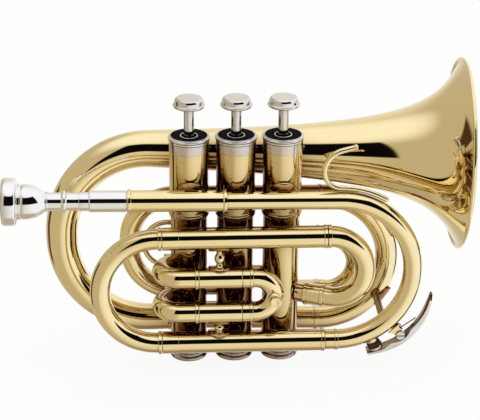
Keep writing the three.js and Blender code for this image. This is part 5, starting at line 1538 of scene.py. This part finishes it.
    def _ring(self) -> None:
        """Makes the finger ring and its foot on the first casing."""
        centre, r = Vector(self.ring_centre), self.ring_r
        outwards = [Vector((math.cos(angle), 0, math.sin(angle))) for angle in turns(self.ring_steps)]
        sections = [Section(centre + out * r, BACK, out, self.wire_r) for out in outwards]
        skin = Skin().rings(sections, 24, loop=True)
        foot: Profile = [(3.1, 9.7), (2.5, 10.3), (2.2, 11.0), (2.2, 12.2), (1.9, 12.8), (1.2, 13.1)]
        skin.turned(foot, (centre.x + r, 0, centre.z), BACK, sides=36)
        self.brass("finger_ring_wire", skin, "finger_ring")


@dataclass
class WaterKey(Assembly):
    """Saddle, pin, lever, cork and spring of the water key, laid out round the leadpipe's bow."""

    pivot_deg: float = 43.4
    bed_r: float = 48.15
    pivot_r: float = 53.75
    cheek_width: float = 4.8
    cheek_rise: float = 1.6
    cheek_inner: float = 2.3
    cheek_outer: float = 3.4
    lever_start_deg: float = 20.0
    lever_end_deg: float = 75.0
    lever_steps: int = 40
    lever_width: float = 8.5
    lever_r: float = 53.25
    lever_thick: float = 1.5
    lever_taper: float = 0.33
    lever_arch: float = 1.1
    tip_rise: float = 2.35
    tip_start: float = 0.8
    tip_length: float = 0.22
    tip_least: float = 0.02
    bulge: float = 2.6
    flange: float = 1.5
    flange_start: float = 0.18
    flange_rise: float = 0.1
    flange_fall: float = 0.45
    flange_notch: float = 0.12
    spring_r: float = 2.0
    spring_steps: int = 32
    spring_count: int = 104
    wire_r: float = 0.35
    pitch: float = 1.25
    foot_length: float = 6.7
    arm_length: float = 12.0
    arm_y: float = 3.23

    def spot(self, degrees: float, radius: float, y: float = 0.0) -> Vector:
        """Returns a place by its angle from straight down and its distance from the bow's centre."""
        angle = math.radians(degrees)
        return LAYOUT.bow_centre() + Vector((radius * math.sin(angle), y, -radius * math.cos(angle)))

    def outward(self, degrees: float) -> Vector:
        """Returns the direction away from the bow's centre at an angle from straight down."""
        return (self.spot(degrees, 1) - self.spot(degrees, 0)).normalized()

    def axes(self) -> tuple[Vector, Vector, Vector]:
        """Returns the pivot, the direction outward there and the direction along the bow."""
        outward = self.outward(self.pivot_deg)
        return self.spot(self.pivot_deg, self.pivot_r), outward, Vector((-outward.z, 0, outward.x))

    def build(self) -> None:
        """Makes every piece of the key."""
        self._saddle()
        self._lever()
        self._cork()
        self._spring()

    def _cheek(self, skin: Skin, y0: float, y1: float) -> None:
        """Adds a cheek with a round top that stands on the bow."""
        _, outward, tangent = self.axes()
        w, bed, rise = self.cheek_width, self.bed_r, self.cheek_rise
        outline = [(-w * 0.85, bed - 0.1), (w * 0.85, bed - 0.1), (w * 0.55, bed + 1.6)]
        arc = [math.radians(a) for a in range(-20, 201, 20)]
        outline += [(w * 0.5 * math.cos(a), self.pivot_r + rise * math.sin(a)) for a in arc]
        outline += [(-w * 0.55, bed + 1.6)]
        base = self.spot(self.pivot_deg, 0)
        skin.joined([[base + outward * r + tangent * t + BACK * y for t, r in outline] for y in (y1, y0)])

    def _saddle(self) -> None:
        """Makes the bed, the two cheeks and the slotted pivot screw."""
        skin = Skin()
        self._cheek(skin, -self.cheek_outer, -self.cheek_inner)
        self._cheek(skin, self.cheek_inner, self.cheek_outer)
        pin: Profile = [(0.8, -3.4), (0.8, 8.4), (0.6, 8.6)]
        pivot = self.axes()[0]
        skin.turned(pin, pivot, BACK, sides=28, finish=1)
        self._screw_head(skin, pivot)
        finishes = [self.wardrobe.brass, self.wardrobe.nickel]
        Piece("key_saddle", skin, finishes, ["water_key_saddle"], bevel=0.12).make()

    def _screw_head(self, skin: Skin, pivot: Vector) -> None:
        """Adds the pivot screw's round head, with a slot across its face."""
        disc: Profile = [(0.1, -4.15), (2.65, -4.15), (2.65, -3.5), (2.5, -3.4), (0.1, -3.4)]
        skin.turned(disc, pivot, BACK, sides=40, finish=1)
        for start in (0.0, math.pi):
            arc = [start + math.radians(a) for a in range(8, 173, 4)]
            rims = ((2.45, -4.7), (2.65, -4.15))
            rows = [[pivot + Vector((r * math.cos(a), y, r * math.sin(a))) for a in arc] for r, y in rims]
            skin.joined(rows, finish=1)

    def _flange(self, share: float) -> float:
        """Gives the height of the lever's near flange, which dips at the hinge and fades to the tip.

        Args:
            share: Where along the lever, from 0 at the cup to 1 at the tip.

        Returns:
            The height.
        """
        hinge = (self.pivot_deg - self.lever_start_deg) / (self.lever_end_deg - self.lever_start_deg)
        rise = min(1.0, max(0.0, (share - self.flange_start) / self.flange_rise))
        fall = min(1.0, (1 - share) / self.flange_fall)
        notch = min(1.0, abs(share - hinge) / self.flange_notch) ** 2
        return self.flange * (rise * fall) * notch

    def _lever_row(self, share: float) -> list[Vector]:
        """Gives the cross-section of the dished lever.

        Args:
            share: Where along the lever, from 0 at the cup to 1 at the tip.

        Returns:
            The section's points.
        """
        degrees = self.lever_start_deg + (self.lever_end_deg - self.lever_start_deg) * share
        arch = math.sin(math.pi * share)
        inner = self.lever_r + self.tip_rise * share + self.bulge * arch
        thick = self.lever_thick * (1 - self.lever_taper * share) + self.lever_arch * arch
        tip = math.sqrt(max(1 - ((share - self.tip_start) / self.tip_length) ** 2, self.tip_least))
        wide = self.lever_width / 2 * (1.0 if share < self.tip_start else tip)
        outer, rim = inner + thick, inner - self._flange(share)
        flank, dish = inner + thick * 0.7, inner + 0.35
        across = [(-wide, rim), (-wide, flank), (-wide * 0.88, outer - 0.15), (-wide * 0.5, outer)]
        across += [(wide * 0.5, outer), (wide * 0.88, outer - 0.15), (wide, flank), (wide, inner)]
        across += [(wide * 0.6, dish), (-wide * 0.7, dish), (-wide * 0.8, rim)]
        return [self.spot(degrees, r, y) for y, r in across]

    def _lever(self) -> None:
        """Makes the dished lever with its cup and hinge barrel."""
        skin = Skin().joined([self._lever_row(i / self.lever_steps) for i in range(self.lever_steps + 1)])
        nipple = LAYOUT.nipple_deg
        cup: Profile = [(0.2, 52.4), (4.1, 52.4), (4.2, 52.1), (4.5, 52.1), (4.62, 52.4), (4.6, 53.1)]
        cup += [(4.3, 53.65), (3.4, 53.85), (0.2, 53.85)]
        skin.turned(cup, self.spot(nipple, 0), self.outward(nipple), sides=48)
        barrel: Profile = [(1.1, -2.0), (1.9, -2.0), (2.0, -1.8), (2.0, 1.8), (1.9, 2.0), (1.1, 2.0)]
        pivot, outward, tangent = self.axes()
        skin.turned(barrel, pivot, BACK, sides=36, loop=True)
        web = [(-1.6, 1.2), (1.6, 1.2), (2.6, 3.8), (-2.6, 3.8)]
        skin.joined([[pivot + tangent * t + outward * r + BACK * y for t, r in web] for y in (1.6, -1.6)])
        Piece("key_lever", skin, [self.wardrobe.nickel], ["water_key_lever"], Body.WATER_KEY, 45.0).make()

    def _cork(self) -> None:
        """Makes the cork pad."""
        nipple = LAYOUT.nipple_deg
        outline: Profile = [(0.1, 49.15), (3.5, 49.15), (3.85, 49.5), (3.95, 50.4), (3.9, 52.3)]
        outline += [(0.1, 52.35)]
        skin = Skin().turned(outline, self.spot(nipple, 0), self.outward(nipple), sides=48)
        Piece("key_cork", skin, [self.wardrobe.cork], ["water_key_cork"], Body.WATER_KEY).make()

    def _spring(self) -> None:
        """Makes the torsion spring: an arm on the bow, three and a quarter turns, an arm under the lever."""
        centre, outward, tangent = self.axes()
        first_y = self.cheek_outer + LAYOUT.gap + self.wire_r
        points = []
        for i in range(self.spring_count + 1):
            angle = math.radians(self.pivot_deg) + math.pi + 2 * math.pi * i / self.spring_steps
            y = first_y + self.pitch * i / self.spring_steps
            turn = Vector((self.spring_r * math.cos(angle), y, self.spring_r * math.sin(angle)))
            points.append(centre + turn)
        foot = points[0] - outward * self.foot_length
        arm = points[-1] + tangent * self.arm_length - outward
        arm.y = LAYOUT.front_y + self.arm_y
        points = [foot, foot.lerp(points[0], 0.5), *points, points[-1].lerp(arm, 0.5), arm]
        sections = []
        across = BACK
        for last, place, ahead in zip([foot, *points], points, [*points[1:], arm]):
            heading = (ahead - last).normalized()
            across = (across - heading * across.dot(heading)).normalized()
            sections.append(Section(place, across, heading.cross(across), self.wire_r))
        Piece(
            "key_spring", Skin().rings(sections, 12), [self.wardrobe.steel], ["water_key_spring"],
            bends_to=(Body.WATER_KEY, centre, centre + tangent * 10),
        ).make()


# Studio


@dataclass
class Studio:
    """Floor, light and camera; places are in millimetres for the camera and in metres for the rest."""

    distance: float = 1046.2
    target: Triple = (2.656, 0.0, 90.044)
    azimuth_deg: float = -4.0627
    elevation_deg: float = 23.3308
    roll_deg: float = 0.7091
    lens: float = 139.595
    sensor: float = 36.0
    clip: tuple[float, float] = (0.05, 20.0)
    floor_half: float = 3.0
    floor_z: float = -0.0006
    floor_white: float = 0.93
    cloth: Triple = (0.94, 0.94, 0.94)
    left_wall: Triple = (0.57, 0.50, 0.39)
    front_wall: Triple = (0.88, 0.84, 0.75)
    right_wall: Triple = (1.0, 1.0, 1.03)
    ceiling: Triple = (1.05, 1.05, 1.08)
    table: Triple = (0.50, 0.42, 0.32)
    front_from: tuple[float, float] = (-0.42, 0.1)
    right_from: tuple[float, float] = (0.05, 0.6)
    ceiling_from: tuple[float, float] = (0.62, 0.95)
    table_below: tuple[float, float] = (-0.95, -0.8)
    doorway: Triple = (0.07, 0.035, 0.015)
    doorway_side_deg: Stops = (96, 101, 118, 124)
    doorway_height: Stops = (-0.62, -0.52, 0.12, 0.17)
    gap: Triple = (0.004, 0.003, 0.004)
    gap_side_deg: Stops = (-27, -24, 55, 61)
    gap_height_deg: Stops = (2, 6, 47, 52)
    lamp_size: tuple[float, float] = (1.2, 0.8)
    lamp_energy: float = 4.0
    lamp_at: Triple = (0.0, 0.1, 1.3)

    def build(self) -> None:
        """Makes the floor, the world, the lamp and the camera."""
        self._floor()
        self._world()
        self._lamp()
        self._camera()

    @staticmethod
    def _placed(name: str, data: bpy.types.ID) -> bpy.types.Object:
        """Puts data into the scene as a new object and returns it."""
        made = bpy.data.objects.new(name, data)
        bpy.context.scene.collection.objects.link(made)
        return made

    def _floor(self) -> None:
        """Lays a plain pale floor just under the caps, which takes the object's shadow."""
        size, z = self.floor_half, self.floor_z
        mesh = bpy.data.meshes.new("floor")
        corners = [(-size, -size, z), (size, -size, z), (size, size, z), (-size, size, z)]
        mesh.from_pydata(corners, [], [(0, 1, 2, 3)])
        floor = self._placed("floor", mesh)
        made = bpy.data.materials.new("pale_floor")
        graph = fresh_graph(made)
        cloth = graph.fed("ShaderNodeBsdfDiffuse", {"Color": self.cloth})
        rays = graph.node("ShaderNodeLightPath").outputs
        whitened = graph.math("MULTIPLY", rays["Is Camera Ray"], self.floor_white)
        seen = graph.mixed(whitened, cloth, graph.fed("ShaderNodeEmission", {}))
        whole = graph.mixed(rays["Is Glossy Ray"], seen, graph.fed("ShaderNodeBsdfTransparent", {}))
        graph.feed(graph.node("ShaderNodeOutputMaterial"), {"Surface": whole})
        mesh.materials.append(made)

    def _world(self) -> None:
        """Surrounds the object with a pale studio, darker to the left, with a dark gap above the camera."""
        world = bpy.data.worlds.new("pale_studio")
        bpy.context.scene.world = world
        graph = fresh_graph(world)
        sky = graph.node("ShaderNodeTexCoord").outputs["Generated"]
        split = graph.node("ShaderNodeSeparateXYZ")
        graph.feed(split, {0: sky})
        x, y, z = split.outputs
        side = graph.math("ARCTAN2", x, graph.math("MULTIPLY", y, -1.0))
        shade: object = self.left_wall
        fronts = (self.front_wall, x, self.front_from), (self.right_wall, x, self.right_from)
        for colour, along, (low, high) in (*fronts, (self.ceiling, z, self.ceiling_from)):
            shade = graph.blend(shade, colour, graph.ramp(along, low, high))
        shade = graph.blend(shade, self.table, graph.ramp(z, *self.table_below, 1.0, 0.0))
        turned = graph.math("ABSOLUTE", side)
        patches = (
            (self.doorway, turned, self.doorway_side_deg, self.doorway_height),
            (self.gap, side, self.gap_side_deg, [math.sin(math.radians(a)) for a in self.gap_height_deg]),
        )
        for colour, around, sides_deg, heights in patches:
            width = graph.window(around, [math.radians(a) for a in sides_deg])
            shade = graph.blend(shade, colour, graph.math("MULTIPLY", width, graph.window(z, heights)))
        studio = graph.fed("ShaderNodeBackground", {"Color": shade})
        plain = graph.fed("ShaderNodeBackground", {"Color": (1.0, 1.0, 1.0)})
        seen = graph.mixed(graph.node("ShaderNodeLightPath").outputs["Is Camera Ray"], studio, plain)
        graph.feed(graph.node("ShaderNodeOutputWorld"), {"Surface": seen})

    def _lamp(self) -> None:
        """Hangs one wide soft lamp overhead."""
        data = bpy.data.lights.new("overhead_softbox", "AREA")
        data.shape = "RECTANGLE"
        data.size, data.size_y = self.lamp_size
        data.energy = self.lamp_energy
        lamp = self._placed("overhead_softbox", data)
        lamp.location = self.lamp_at
        lamp.visible_glossy = False

    def _camera(self) -> None:
        """Sets the camera at the photograph's viewing angle."""
        a, e, r = (math.radians(d) for d in (self.azimuth_deg, self.elevation_deg, self.roll_deg))
        forward = Vector((-math.sin(a) * math.cos(e), math.cos(a) * math.cos(e), -math.sin(e)))
        right = forward.cross(UP).normalized()
        up = right.cross(forward)
        image_right = right * math.cos(r) + up * math.sin(r)
        image_up = up * math.cos(r) - right * math.sin(r)
        place = (Vector(self.target) - forward * self.distance) * MM
        data = bpy.data.cameras.new("camera")
        data.sensor_width, data.lens = self.sensor, self.lens
        data.clip_start, data.clip_end = self.clip
        camera = self._placed("camera", data)
        turn = Matrix((image_right, image_up, -forward)).transposed()
        camera.matrix_world = Matrix.Translation(place) @ turn.to_4x4()
        bpy.context.scene.camera = camera
        bpy.context.scene.view_settings.view_transform = "Standard"


def valve_slides(wardrobe: Wardrobe) -> list[ValveSlide]:
    """Lists the three valve slides.

    Args:
        wardrobe: The finishes.

    Returns:
        The slides, ready to build.
    """
    y1, y3 = LAYOUT.slide_y, LAYOUT.third_slide_y
    (high_1, low_1), (high_2, low_2), (high_3, low_3) = (
        LAYOUT.first_slide_z, LAYOUT.second_slide_z, LAYOUT.third_slide_z
    )
    right, back, front = (1, 0, 0), (0, 1, 0), (0, -1, 0)
    return [
        ValveSlide(
            wardrobe, "first_slide", Body.FIRST_SLIDE, ((3.1, y1, high_1), (3.1, y1, low_1)), right,
            straight=7.3, leg_length=22.0, knob_at=(20.9, -25.7, 47.0), knob_along=front,
        ),
        ValveSlide(
            wardrobe, "second_slide", Body.SECOND_SLIDE, ((0, 24.3, high_2), (0, 24.3, low_2)), back,
            straight=4.0, leg_length=11.5, knob_at=(0, 42.6, 43.5), knob_along=back,
        ),
        ValveSlide(
            wardrobe, "third_slide", Body.THIRD_SLIDE, ((50.3, y3, high_3), (50.3, y3, low_3)), right,
            straight=3.9, leg_length=14.5, knob_at=(71.45, 10.8, 48.75), knob_along=front,
        ),
    ]


def main() -> None:
    """Builds the dressed trumpet and its studio."""
    logging.basicConfig(level=logging.INFO, format="%(message)s")
    Studio().build()
    wardrobe = Wardrobe()
    slides = valve_slides(wardrobe)
    tubes = (ValveTubing(wardrobe), Mouthpiece(wardrobe), LeadPipe(wardrobe), MainTubes(wardrobe))
    rest = (FirstSlideTubes(wardrobe), *slides, BellAndCoil(wardrobe), Braces(wardrobe), WaterKey(wardrobe))
    for part in (*(Valve(wardrobe, number) for number in (1, 2, 3)), *tubes, *rest):
        part.build()
        LOG.info("%s is dressed", type(part).__name__)


if __name__ == "__main__":
    main()
